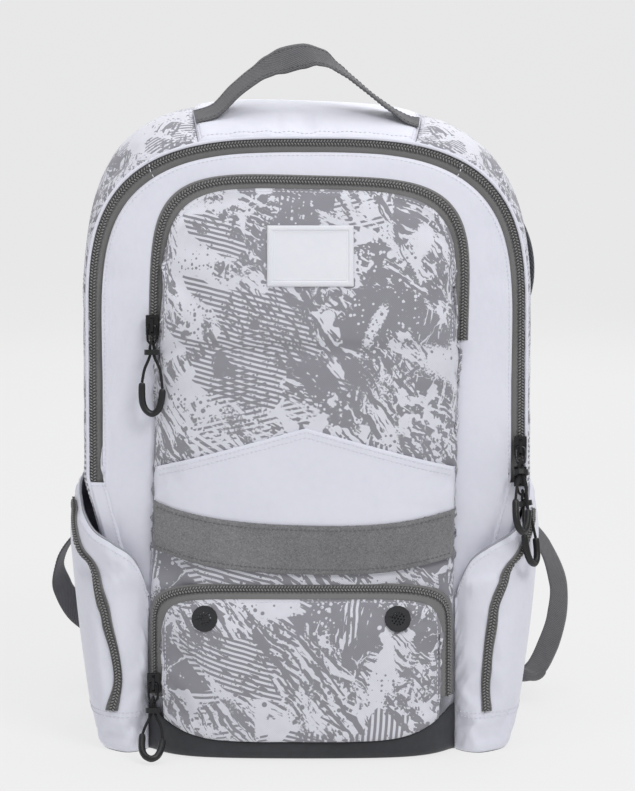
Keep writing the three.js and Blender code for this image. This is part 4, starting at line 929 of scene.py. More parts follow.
def shell(grid: Array, wall: float, outward: Array) -> tuple[Array, list, Array]:
    """Closed skin of even thickness behind a grid.

    Args:
        grid: the outer face, rows by columns by 3.
        wall: thickness.
        outward: vectors that the outer face looks along.

    Returns:
        Vertices, faces and texture places.
    """
    rows, cols = grid.shape[:2]
    normal, flipped = grid_normals(grid, outward)
    points = np.concatenate([grid.reshape(-1, 3), (grid - normal * wall).reshape(-1, 3)])
    index = np.arange(rows * cols).reshape(rows, cols)
    outer = quads_of(index)
    inner = outer[:, ::-1] + rows * cols
    loop = np.concatenate([index[0], index[1:, -1], index[-1, -2::-1], index[-2:0:-1, 0]])
    after = np.roll(loop, -1)
    rim = np.stack([after, loop, loop + rows * cols, after + rows * cols], axis=1)
    faces = np.concatenate([outer, inner, rim])
    if flipped:
        faces = faces[:, ::-1]
    uv = flat_uv(grid).reshape(-1, 2)
    return points, faces.tolist(), np.concatenate([uv, uv])


def tube(centres: Array, across: Array, out: Array, section: Array) -> tuple[Array, list, Array]:
    """Closed sweep of a section along a line.

    Args:
        centres: places along the line.
        across: unit vectors for the section's first axis.
        out: unit vectors for its second axis.
        section: its outline, or one for each place.

    Returns:
        Vertices, faces and texture places.
    """
    count = len(centres)
    outlines = section if section.ndim == 3 else np.repeat(section[None], count, axis=0)
    sides = outlines.shape[1]
    rings = centres[:, None] + outlines[..., :1] * across[:, None] + outlines[..., 1:] * out[:, None]
    index = np.arange(count * sides).reshape(count, sides)
    turned = np.roll(index, -1, axis=1)
    faces = np.stack([index[:-1], index[1:], turned[1:], turned[:-1]], axis=2).reshape(-1, 4).tolist()
    run = np.concatenate([[0], np.cumsum(np.linalg.norm(np.diff(centres, axis=0), axis=1))])
    girth = np.concatenate([[0], np.cumsum(np.linalg.norm(np.diff(outlines[0], axis=0), axis=1))])
    uv = np.stack(np.meshgrid(girth, run), axis=2).reshape(-1, 2) * MM
    return rings.reshape(-1, 3), [*faces, index[0].tolist(), index[-1][::-1].tolist()], uv


def frames_along(path: Array, normals: Array) -> tuple[Array, Array, Array]:
    """Tangents, sideways vectors and normals square to each other along a line."""
    tangent = unit(np.gradient(path, axis=0))
    across = unit(np.cross(tangent, normals))
    return tangent, across, np.cross(across, tangent)


def put(name: str, data: bpy.types.ID) -> bpy.types.Object:
    """A new object with its data, in the scene."""
    item = bpy.data.objects.new(name, data)
    bpy.context.scene.collection.objects.link(item)
    return item


def bead(rings: int = 3, sides: int = 6) -> tuple[Array, list]:
    """A round bead of radius 1 as vertices and faces, for stitches and teeth."""
    turns = np.linspace(0, 2 * math.pi, sides, endpoint=False)
    rise = np.linspace(-math.pi / 2, math.pi / 2, rings + 1)[1:-1]
    body = np.array([[math.sin(r), math.cos(r) * math.cos(t),
                      math.cos(r) * math.sin(t)] for r in rise for t in turns])
    points = np.vstack([body, [-1, 0, 0], [1, 0, 0]])
    faces = []
    for ring in range(len(rise) - 1):
        for k in range(sides):
            low, high = ring * sides, (ring + 1) * sides
            faces.append([low + k, low + (k + 1) % sides, high + (k + 1) % sides, high + k])
    last = (len(rise) - 1) * sides
    faces += [[(k + 1) % sides, k, len(body)] for k in range(sides)]
    faces += [[last + k, last + (k + 1) % sides, len(body) + 1] for k in range(sides)]
    return points, faces


class Press:
    """Cloth simulation that pushes the flat-drawn panels out into soft, creased ones."""

    FRAMES = 22

    def __init__(self) -> None:
        """Starts with no panels."""
        self.jobs: dict[str, tuple[Array, bpy.types.Object]] = {}
        self.moves: dict[str, Array] = {}

    def lay(self, name: str, place: Place, outward: Array, pressure: float, growth: float) -> None:
        """Adds a panel that is held along its edges.

        Args:
            name: the panel's name.
            place: its surface.
            outward: vectors that its face looks along.
            pressure: push from inside.
            growth: share by which the cloth is larger than its frame.
        """
        rough = place(np.linspace(0, 1, 9), np.linspace(0, 1, 9))
        size = [float(np.linalg.norm(np.diff(rough, axis=a), axis=2).sum(axis=a).mean()) for a in (1, 0)]
        cols, rows = (int(np.clip(length / 6.0, 10, 64)) for length in size)
        grid = place(np.linspace(0, 1, cols), np.linspace(0, 1, rows))
        _, flipped = grid_normals(grid, outward)
        index = np.arange(rows * cols).reshape(rows, cols)
        faces = quads_of(index)
        mesh = bpy.data.meshes.new(name)
        mesh.from_pydata((grid.reshape(-1, 3) * MM).tolist(), [],
                         (faces[:, ::-1] if flipped else faces).tolist())
        item = put(name, mesh)
        held = np.concatenate([index[0], index[-1], index[:, 0], index[:, -1]])
        item.vertex_groups.new(name="held").add(np.unique(held).tolist(), 1.0, "REPLACE")
        cloth = item.modifiers.new("cloth", "CLOTH")
        feel = {"vertex_group_mass": "held", "quality": 6, "mass": 0.25, "tension_stiffness": 25,
                "compression_stiffness": 12, "shear_stiffness": 8, "bending_stiffness": 0.25,
                "shrink_min": -growth, "use_pressure": True, "uniform_pressure_force": pressure}
        for word, value in feel.items():
            setattr(cloth.settings, word, value)
        cloth.settings.effector_weights.gravity = 0
        cloth.collision_settings.use_collision = False
        cloth.point_cache.frame_end = self.FRAMES
        self.jobs[name] = (grid, item)

    def run(self) -> None:
        """Runs all the panels together, keeps how far each point moved, and removes the copies."""
        for step in range(1, self.FRAMES + 1):
            bpy.context.scene.frame_set(step)
        view = bpy.context.evaluated_depsgraph_get()
        for name, (grid, item) in self.jobs.items():
            done = item.evaluated_get(view).data
            flat = np.empty(len(done.vertices) * 3)
            done.vertices.foreach_get("co", flat)
            self.moves[name] = flat.reshape(grid.shape) / MM - grid
            bpy.data.objects.remove(item)
        bpy.context.scene.frame_set(1)
        LOG.info("pressed %d panels", len(self.jobs))

    def moved(self, name: str, us: Array, vs: Array, cap: float) -> Array:
        """How far a panel's points moved, at finer places.

        Args:
            name: the panel.
            us: shares across.
            vs: shares up.
            cap: the farthest that a point may move, in millimetres.

        Returns:
            Moves, rows by columns by 3.
        """
        move = self.moves[name]
        rows, cols = move.shape[:2]
        across = np.stack([[np.interp(us, np.linspace(0, 1, cols),
                                      row[:, k]) for k in range(3)] for row in move])
        fine = np.stack([
            [np.interp(vs, np.linspace(0, 1, rows),
                       across[:, k, c]) for c in range(len(us))] for k in range(3)
        ])
        smooth = np.stack([blurred(part, 4) for part in fine.transpose(0, 2, 1)], axis=2)
        far = np.maximum(np.linalg.norm(smooth, axis=2, keepdims=True), 1e-6)
        return smooth * (cap * np.tanh(far / cap) / far)


@dataclass
class Workshop:
    """Makes pieces in the scene, and keeps the surfaces and seams that the sub-assemblies share."""

    form: BagForm
    materials: dict[str, bpy.types.Material]
    press: Press
    surfaces: dict[str, BVHTree] = field(default_factory=dict)
    seams: dict[str, list[tuple[Array, Array]]] = field(default_factory=dict)
    made: int = 0

    SLOTS = {"lining": "tape", "thread": "white", "grey_thread": "tape", "rubber": "plastic",
             "cord": "plastic",
             "bed": "coil"}

    def piece(self, name: str, parts: tuple[Array, list, Array | None], finish: str,
              *nodes: str) -> bpy.types.Object:
        """Makes one mesh of the bag.

        Args:
            name: the piece's name.
            parts: vertices in millimetres, faces and texture places.
            finish: its finish.
            nodes: solids that it stands for.

        Returns:
            The piece.
        """
        points, faces, uv = parts
        mesh = bpy.data.meshes.new(name)
        mesh.from_pydata((np.asarray(points) * MM).tolist(), [], faces)
        if uv is not None:
            corners = np.empty(len(mesh.loops), dtype=np.int32)
            mesh.loops.foreach_get("vertex_index", corners)
            mesh.uv_layers.new(name="flat").data.foreach_set("uv", uv[corners].ravel())
        mesh.shade_smooth()
        mesh.update()
        item = put(name, mesh)
        mesh.materials.append(self.materials[finish])
        self.attach(item, finish, *nodes)
        return item

    def attach(self, item: bpy.types.Object, finish: str, *nodes: str) -> None:
        """Ties a piece to the bag's body and hides the solids that it stands for."""
        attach(item, "root")
        if nodes:
            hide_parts(*nodes)
        self.made += 1

    def dress(self, node: str, finish: str, bevel: float = 0.0, rounds: int = 0, swell: float = 0.0) -> None:
        """Gives a solid that stays its finish, and softens its edges.

        Args:
            node: the solid.
            finish: its finish.
            bevel: width of the rounded edges in millimetres.
            rounds: how often its faces are split and rounded.
            swell: how far the rounded faces are pushed back out, in millimetres.
        """
        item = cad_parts[node]
        item.data.materials.clear()
        item.data.materials.append(self.materials[finish])
        weld = item.modifiers.new("weld", "WELD")
        weld.merge_threshold = 0.00002
        if bevel:
            edge = item.modifiers.new("bevel", "BEVEL")
            edge.width = bevel * MM
            edge.segments = 3
            edge.limit_method = "ANGLE"
            edge.harden_normals = False
        if rounds:
            split = item.modifiers.new("rounded", "SUBSURF")
            split.levels = rounds
            split.render_levels = rounds
        if swell:
            push = item.modifiers.new("swell", "DISPLACE")
            push.strength = swell * MM
            push.mid_level = 0

    def panel(self, name: str, place: Place, cols: int, rows: int, wall: float, outward: Array, finish: str,
              cap: float, roll: float = 1.0, pucker: float = 0.35, seed: int = 0,
              relief: Callable[[Array], Array] | None = None) -> Array:
        """A cloth panel: its drawn surface, pressed, with edges that roll in and pucker at the seams.

        Args:
            name: the node that it stands for.
            place: its surface over shares across and up.
            cols: points across.
            rows: points up.
            wall: thickness.
            outward: vectors that its face looks along.
            finish: its finish.
            cap: the farthest that the press may move a point.
            roll: how far the edges turn in.
            pucker: height of the seam's puckers.
            seed: seed of the puckers.
            relief: height over the panel's face at each point.

        Returns:
            The panel's outer grid.
        """
        us, vs = np.linspace(0, 1, cols), np.linspace(0, 1, rows)
        grid = place(us, vs)
        normal, _ = grid_normals(grid, outward)
        side, end = edge_distance(grid)
        grid = grid + self.press.moved(name, us, vs, cap)
        beside = soft_noise((rows, cols), (rows * 2 // 5, 3), seed) * np.exp(-side / 9)
        beyond = soft_noise((rows, cols), (3, cols * 2 // 5), seed + 1) * np.exp(-end / 9)
        edge = np.minimum(side, end)
        dent = pucker * (beside + beyond) * (1 - np.exp(-edge / 2)) - roll * np.exp(-((edge / 2.2) ** 2))
        if relief is not None:
            dent = dent + relief(grid)
        grid = grid + normal * dent[..., None]
        skin = self.piece(name + "_cloth", shell(grid, wall, outward), finish, name)
        self.keep(name, grid)
        return grid

    def keep(self, name: str, grid: Array) -> None:
        """Keeps a surface so that trims can be laid on it."""
        rows, cols = grid.shape[:2]
        index = np.arange(rows * cols).reshape(rows, cols)
        quads = quads_of(index)
        self.surfaces[name] = BVHTree.FromPolygons(grid.reshape(-1, 3).tolist(), quads.tolist())

    def on(self, name: str, points: Array, outward: Array, lift: float) -> Array:
        """Points moved on to a kept surface.

        Args:
            name: the surface.
            points: points near it, along the last axis.
            outward: way from the surface to the outside, one or as many as the points.
            lift: how far off the surface to put them.

        Returns:
            The moved points; one that misses the surface stays.
        """
        flat, ways = points.reshape(-1, 3), np.broadcast_to(outward, points.shape).reshape(-1, 3)
        out = flat.copy()
        for i, (p, way) in enumerate(zip(flat, ways)):
            hit, normal, _, _ = self.surfaces[name].ray_cast(Vector(p + 40 * way), Vector(-way), 80)
            if hit is None:
                hit, normal, _, gap = self.surfaces[name].find_nearest(Vector(p))
                if hit is None or gap > 6:
                    continue
            face = np.array(normal)
            out[i] = np.array(hit) + way * lift / max(0.5, abs(float(face @ way)))
        return out.reshape(points.shape)

    def trim(self, name: str, grid: Array, under: str, stand: float, wall: float, outward: Array, finish: str,
             relief: Array | float = 0.0, hug: float = 0.0) -> Array:
        """A flat piece sewn on a surface.

        Args:
            name: the node that it stands for.
            grid: points near the surface.
            under: the surface that carries it.
            stand: gap under it.
            wall: its thickness.
            outward: the way out from the surface.
            finish: its finish.
            relief: raised pattern on its face, in millimetres.
            hug: how far its side edges turn in.

        Returns:
            The piece's outer grid.
        """
        middle = grid[:, [grid.shape[1] // 2], 0]
        probe = grid.copy()
        probe[..., 0] = middle + (grid[..., 0] - middle) * 0.965
        laid = grid.copy()
        laid[..., 1] = blurred(self.on(under, probe, outward, stand + wall)[..., 1], 2)
        side, end = edge_distance(laid)
        normal, _ = grid_normals(laid, outward)
        laid = laid - normal * (hug * np.exp(-((side / 2.2) ** 2)))[..., None]
        edge = np.minimum(side, end)
        laid = laid + normal * (relief * ease(edge / 0.5) - 0.5 * np.exp(-((edge / 1.2) ** 2)))[..., None]
        self.piece(name + "_cloth", shell(laid, wall, outward), finish, name)
        self.keep(name, laid)
        return laid

    def stitch(self, thread: str, path: Array, normals: Array) -> None:
        """Adds a seam to sew later: a line on a surface and its normals."""
        self.seams.setdefault(thread, []).append((path, np.broadcast_to(normals, path.shape)))

    def scatter(self, name: str, finish: str, centres: Array, axes: Array, *nodes: str) -> bpy.types.Object:
        """Many small beads as one piece.

        Args:
            name: the piece's name.
            finish: its finish.
            centres: their middles.
            axes: three scaled axes for each.
            nodes: solids that they stand for.

        Returns:
            The piece.
        """
        points, faces = bead()
        all_points = (centres[:, None] + np.einsum("vk,nkc->nvc", points, axes)).reshape(-1, 3)
        all_faces = [[q + k * len(points) for q in f] for k in range(len(centres)) for f in faces]
        uv = all_points[:, [0, 2]] * MM
        return self.piece(name, (all_points, all_faces, uv), finish, *nodes)

    def sew(self, pitch: float = 3.4, length: float = 2.5, radius: float = 0.42) -> None:
        """Sews all the kept seams, a piece for each thread."""
        for thread, lines in self.seams.items():
            centres, axes = [], []
            for path, normals in lines:
                count = max(3, int(path_length(path) / pitch))
                run = np.concatenate([[0], np.cumsum(np.linalg.norm(np.diff(path, axis=0), axis=1))])
                at = np.linspace(0.5, count - 0.5, count) / count * run[-1]
                middle = np.stack([np.interp(at, run, path[:, k]) for k in range(3)], axis=1)
                normal = unit(np.stack([np.interp(at, run, normals[:, k]) for k in range(3)], axis=1))
                tangent, across, up = frames_along(middle, normal)
                centres.append(middle)
                axes.append(np.stack([tangent * length / 2, across * radius, up * radius], axis=1))
            self.scatter(thread + "_stitches", thread, np.concatenate(centres), np.concatenate(axes))


# Sub-assemblies

@dataclass(frozen=True)
class Studio:
    """Camera, floor and soft lights."""

    distance: float = 2.6
    lens: float = 155.66
    elevation: float = 7.0
    target: tuple[float, float, float] = (0.008, -0.070, 0.268)

    def camera(self) -> None:
        """Puts the camera where the photograph was taken from."""
        data = bpy.data.cameras.new("camera")
        data.lens = self.lens
        data.sensor_width = 36
        data.clip_end = 60
        item = put("camera", data)
        bpy.context.scene.camera = item
        up = math.radians(self.elevation)
        back = Vector((0, -math.cos(up), math.sin(up)))
        item.location = Vector(self.target) + back * self.distance
        item.rotation_euler = (-back).to_track_quat("-Z", "Y").to_euler()

    def build(self) -> None:
        """Makes the floor, the backdrop's light and the lamps."""
        mesh = bpy.data.meshes.new("floor")
        bend = np.linspace(0, math.pi / 2, 13)
        line = [(-9.0, 0.0), *((3 + 1.5 * math.sin(a), 1.5 - 1.5 * math.cos(a)) for a in bend), (4.5, 7.0)]
        points = [(x, y, z) for y, z in line for x in (-9, 9)]
        mesh.from_pydata(points, [], [(2 * k, 2 * k + 1, 2 * k + 3, 2 * k + 2) for k in range(len(line) - 1)])
        mesh.shade_smooth()
        floor = put("floor", mesh)
        material, n, shader = new_material("floor")
        at = n.add("ShaderNodeTexCoord").outputs["Object"]
        tone = n.blend(n.noise(at, 1.5), colour("6A6A6A"), colour("6E6E6E"))
        n.tree.links.new(tone, shader.inputs["Base Color"])
        shader.inputs["Roughness"].default_value = 0.9
        shader.inputs["Specular IOR Level"].default_value = 0.0
        shader.inputs["Emission Color"].default_value = colour("E4E4E4")
        shader.inputs["Emission Strength"].default_value = 0.92
        mesh.materials.append(material)
        world = bpy.data.worlds.new("studio")
        world.use_nodes = True
        sky = world.node_tree.nodes["Background"]
        sky.inputs[0].default_value = colour("EFEFF2")
        sky.inputs[1].default_value = 0.45
        bpy.context.scene.world = world
        bpy.context.scene.view_settings.view_transform = "Standard"
        lamps = (
            ("key", (1.2, -2.0, 2.3), 1.2, 31), ("fill", (-1.9, -1.8, 1.2), 2.0, 4.5),
            ("top", (0.0, -0.1, 2.4), 1.6, 21), ("rear", (0.4, 2.4, 1.6), 2.0, 14),
        )
        for name, place, size, power in lamps:
            data = bpy.data.lights.new(name, "AREA")
            data.energy = power
            data.size = size
            data.color = (1.0, 1.0, 1.0)
            item = put(name, data)
            item.location = place
            item.rotation_euler = (Vector((0, 0, 0.25)) - Vector(place)).to_track_quat("-Z", "Y").to_euler()


@dataclass(frozen=True)
class PullSizes:
    """Sizes of a zip's pull in millimetres."""

    slider_wall: float = 3.2
    link_wire: float = 1.6
    link_length: float = 15
    link_hang: float = 1.7
    cord: float = 2.2
    drop: float = 57
    grip_width: float = 20
    grip_height: float = 24
    grip_thick: float = 5


@dataclass(frozen=True)
class Pull:
    """One zip's pull: slider, link, cord loop, collar and grip."""

    name: str
    place: tuple[float, float, float]
    swing: float = 0.0
    lean: float = 0.0
    turn: float = 0.0
    lay: float = 0.0
    s: PullSizes = PullSizes()

    def settle(self, points: Array, neck: float) -> Array:
        """Turns and lays what hangs under the collar."""
        x, y, z = points.T
        roll = math.radians(self.turn) * ease((neck - 4 - y) / 8)
        turned = np.stack([x * np.cos(roll) + z * np.sin(roll), y, -x * np.sin(roll) + z * np.cos(roll)],
                          axis=1)
        below = neck - 6 - turned[:, 1]
        bend = -math.radians(self.lay) * ease(below / 14) * (below > 0)
        dy, dz = turned[:, 1] - (neck - 6), turned[:, 2]
        laid = np.stack([turned[:, 0], dy * np.cos(bend) - dz * np.sin(bend) + neck - 6,
                         dy * np.sin(bend) + dz * np.cos(bend)], axis=1)
        return np.where((below > 0)[:, None], laid, turned)

    def to_bag(self, points: Array) -> Array:
        """From the pull's own frame to the bag's."""
        swing, lean = math.radians(self.swing), math.radians(self.lean)
        x, y, z = points.T
        x, y = x * math.cos(swing) - y * math.sin(swing), x * math.sin(swing) + y * math.cos(swing)
        y, z = y * math.cos(lean) + z * math.sin(lean), -y * math.sin(lean) + z * math.cos(lean)
        z = z + self.s.slider_wall + self.s.link_hang
        return np.stack([x, -z, y], axis=1) + np.array(self.place)

    def build(self, shop: Workshop) -> None:
        """Makes the cord and dresses the rest.

        Args:
            shop: where pieces are made.
        """
        s = self.s
        bar = -s.link_length + 1.5 * s.link_wire
        r = s.cord / 2
        clear = s.link_wire / 2 + r + shop.form.s.seam_gap
        eye = bar + clear
        neck = bar - s.link_wire - 4
        top = eye - s.drop + s.grip_height
        half = (s.grip_width - s.grip_thick) / 2
        places = np.array([
            (-half, top + 0.4, 0), (-0.75 * half, mix(top, neck, 0.4), 0), (-r - 0.3, neck - 4, 0),
            (-r - 0.3, neck + 1.5, 0.6 * clear), (-0.5 * r, bar, clear), (0, eye, 0), (0.5 * r, bar, -clear),
            (r + 0.3, neck + 1.5, -0.6 * clear), (r + 0.3, neck - 4, 0), (0.8 * half, mix(top, neck, 0.4), 0),
            (half * 1.05, top - s.grip_height * 0.2 + 0.4, 0),
        ])
        line = catmull(self.to_bag(self.settle(places, neck)), 80) * MM
        curve = bpy.data.curves.new(self.name + "_line", "CURVE")
        curve.dimensions = "3D"
        curve.bevel_depth = r * MM
        curve.bevel_resolution = 3
        curve.use_fill_caps = True
        spline = curve.splines.new("POLY")
        spline.points.add(len(line) - 1)
        spline.points.foreach_set("co", np.concatenate([line, np.ones((len(line), 1))], axis=1).ravel())
        curve.materials.append(shop.materials["cord"])
        item = put(self.name + "_line", curve)
        shop.attach(item, "cord", self.name + "_cord")
        with_pieces = [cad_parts[self.name + "_" + word] for word in ("collar", "grip")]
        shop.dress(self.name + "_slider", "metal", bevel=0.6)
        shop.dress(self.name + "_link", "metal", rounds=2, swell=0.15)
        shop.dress(self.name + "_collar", "rubber", bevel=0.7)
        shop.dress(self.name + "_grip", "rubber", rounds=2, swell=0.35)


@dataclass(frozen=True)
class Pulls:
    """The four pulls, each at its zip's closed end."""

    form: BagForm

    def build(self, shop: Workshop) -> None:
        """Makes the pulls.

        Args:
            shop: where pieces are made.
        """
        s, form = self.form.s, self.form
        coil_front = s.tape_wall + 2 * s.seam_gap + s.coil_height
        coil_inset = s.coil_width / 2 + 1
        upper_z, lower_z = s.upper_zip_foot + 12, s.lower_zip_foot + 11
        upper_x = float(form.middle(s.upper_zip_foot)) - (s.upper_zip_width / 2 - coil_inset)
        lower_x = s.low_middle - (s.lower_half - coil_inset)
        main_x = s.body_half - s.closed_inset - s.coil_width / 2
        upper_y = float(form.front_y(upper_x, upper_z)) - coil_front - 0.8
        lower_y = float(form.lower_y(lower_x, lower_z)) - coil_front - 2.9
        Pull("upper_pull", (upper_x, upper_y, upper_z), lean=5).build(shop)
        Pull("lower_pull", (lower_x, lower_y, lower_z), lean=8, lay=45).build(shop)
        mains = (("main_pull_low", 3, 0.7, 9, 6, 55), ("main_pull_high", 26, -0.1, 0, 24, 50))
        for name, climb, stand, swing, lean, turn in mains:
            z = s.main_zip_foot + climb
            y = float(form.edge_y(z)) + s.seam_gap - s.coil_height - s.seam_gap - stand
            Pull(name, (main_x, y, z), swing, lean, turn).build(shop)


@dataclass(frozen=True)
class Body:
    """Main compartment: gusset, front and back panels, and their bindings."""

    form: BagForm
    top_seam: float = 0.312
    seam_share: float = 0.0012

    def surfaces(self) -> dict[str, tuple[Place, Array, str]]:
        """Each panel's surface, the way it faces and its finish."""
        form, s = self.form, self.form.s
        back_top = s.front_height + s.crown_rise * GUSSET["rise"][-1] - s.closed_inset

        def front_half(z: Array) -> Array:
            """Half width of the front panel."""
            return form.side_half(z, 0.0) - s.zip_band

        def back_width(z: Array) -> Array:
            """Half width of the back panel."""
            return form.side_half(z, 1.0) - s.closed_inset

        front_at = arched(lambda x: s.panel_foot + 0 * x, s.shoulder, s.front_height - s.zip_band,
                               s.front_power, front_half)
        back_at = arched(lambda x: s.panel_foot + 0 * x, s.shoulder, back_top, s.crown_power, back_width)

        def front(us: Array, vs: Array) -> Array:
            """Front panel's face."""
            x, z = front_at(us, vs)
            return np.stack([x, form.front_y(x, z), z], axis=2)

        def back(us: Array, vs: Array) -> Array:
            """Back panel's face."""
            x, z = back_at(us, vs)
            return np.stack([x, form.back_y(x, z), z - form.lean_drop(x, z, 1.0)], axis=2)

        def crown(us: Array, vs: Array) -> Array:
            """White piece over the top."""
            reach = self.top_seam - self.seam_share
            return form.gusset(mix(-reach, reach, us), vs)

        def left(us: Array, vs: Array) -> Array:
            """Gusset's left side."""
            return form.gusset(-mix(self.top_seam, 2.0, us), vs)

        def right(us: Array, vs: Array) -> Array:
            """Gusset's right side."""
            return form.gusset(mix(self.top_seam, 2.0, us), vs)

        return {
            "front_panel": (front, FORWARD, "white"), "back_panel": (back, BACKWARD, "mesh"),
            "top_gusset": (crown, np.array([0, 0, 1.0]), "white"),
            "gusset_left": (left, np.array([-1.0, 0, 0]), "print"),
            "gusset_right": (right, np.array([1.0, 0, 0]), "print"),
        }

    def press(self, press: Press) -> None:
        """Lays the panels in the press."""
        pushes = {"front_panel": (0.6, 0.01), "back_panel": (1.5, 0.02), "top_gusset": (2.0, 0.03)}
        for name, (place, outward, _) in self.surfaces().items():
            pressure, growth = pushes.get(name, (2.5, 0.03))
            press.lay(name, place, outward, pressure, growth)

    def build(self, shop: Workshop) -> None:
        """Makes the panels, their seams and bindings.

        Args:
            shop: where pieces are made.
        """
        s, form = self.form.s, self.form
        sizes = {"front_panel": (100, 130, s.panel_wall, 0.9), "back_panel": (104, 144, s.back_pad / 2, 2.5),
                 "top_gusset": (110, 60, s.panel_wall, 2.0), "gusset_left": (180, 50, s.panel_wall, 2.6),
                 "gusset_right": (180, 50, s.panel_wall, 2.6)}
        for seed, (name, (place, outward, finish)) in enumerate(self.surfaces().items()):
            cols, rows, wall, cap = sizes[name]
            roll = 0.5 if name == "front_panel" else 0.9
            relief = self.channels if name == "back_panel" else None
            shop.panel(name, place, cols, rows, wall, outward, finish, cap, roll, seed=10 * seed,
                       relief=relief)
        rounds = np.linspace(-2, 2, 420)
        centre = np.array([0, 0, 250.0])
        for name, depth, radius, finish in (("front_piping", 0.0, 1.3, "white"),
                                            ("back_binding", 1.0, 2.6, "web")):
            line = form.gusset(rounds, np.array([depth]))[0]
            way = unit((line - centre) * np.array([1, 0, 1]))
            line = line - way * (radius - 0.6) + BACKWARD * (0.4 if depth else 0.2)
            _, across, up = frames_along(line, way)
            turns = np.linspace(0, 2 * math.pi, 10, endpoint=False)
            ring = np.stack([np.cos(turns) * radius * (1.5 if depth else 1.0), np.sin(turns) * radius],
                            axis=1)
            shop.piece(name, tube(line, across, up, ring), finish)
        self.zip_ends(shop)
        self.seam_lines(shop)

    def zip_ends(self, shop: Workshop) -> None:
        """White strips that close the front panel's sides under the ends of the main zip."""
        s, form = self.form.s, self.form
        z = np.linspace(s.panel_foot, s.main_zip_foot - 2, 90)
        for side in Side:
            rows = []
            for inset in np.linspace(s.zip_band + 1.2, 0.9, 7):
                x = side.value * (form.side_half(z, 0.0) - inset)
                rows.append(np.stack([x, form.front_y(x, z) - 0.5, z], axis=1))
            grid = np.stack(rows)
            shop.piece("zip_end_" + side.word, shell(grid, 1.6, FORWARD), "white", "front_panel")
            shop.stitch("thread", grid[1] + FORWARD * 0.1, FORWARD)
            shop.stitch("thread", grid[:, -2] + FORWARD * 0.1, FORWARD)

    def channels(self, grid: Array) -> Array:
        """Depth of the sewn channels between the back panel's pads."""
        x, z = grid[..., 0], grid[..., 2]
        spine = np.exp(-((x / 8) ** 4))
        cross = sum(np.exp(-(((z - level - 0.0006 * x**2) / 5) ** 4)) for level in (105, 215, 325))
        edge = np.minimum(*edge_distance(grid))
        return -3.6 * np.maximum(spine, cross) * (1 - np.exp(-((edge / 12) ** 2)))

    def seam_lines(self, shop: Workshop) -> None:
        """Sews the double rows beside the gusset's seams and round its edges."""
        depths = np.linspace(0.02, 0.98, 60)
        for side in Side:
            for shift, node in ((-0.016, "top_gusset"), (-0.008, "top_gusset"),
                                (0.009, "gusset_" + side.word)):
                at = np.array([side.value * (self.top_seam + shift)])
                line = self.form.gusset(at, depths)[:, 0]
                way = unit((line - np.array([0, 0, 330.0])) * np.array([1, 0, 1]))
                shop.stitch("thread", shop.on(node, line, way, 0.2), way)
        rounds = np.linspace(-1.98, 1.98, 500)
        for depth in (0.03, 0.965):
            line = self.form.gusset(rounds, np.array([depth]))[0]
            way = unit((line - np.array([0, 0, 250.0])) * np.array([1, 0, 1]))
            for node, part in (("top_gusset", np.abs(rounds) < 0.305), ("gusset_left", rounds < -0.32),
                               ("gusset_right", rounds > 0.32)):
                shop.stitch("thread", shop.on(node, line[part], way[part], 0.2), way[part])
        for off in (-118.0, 116.0):
            z = np.linspace(self.form.s.front_height - 16, self.form.s.upper_zip_top + 2, 12)
            x = off + (z - z[-1]) * 0.12 * np.sign(off)
            line = np.stack([x, self.form.front_y(x, z), z], axis=1)
            shop.stitch("thread", shop.on("front_panel", line, FORWARD, 0.2), FORWARD)


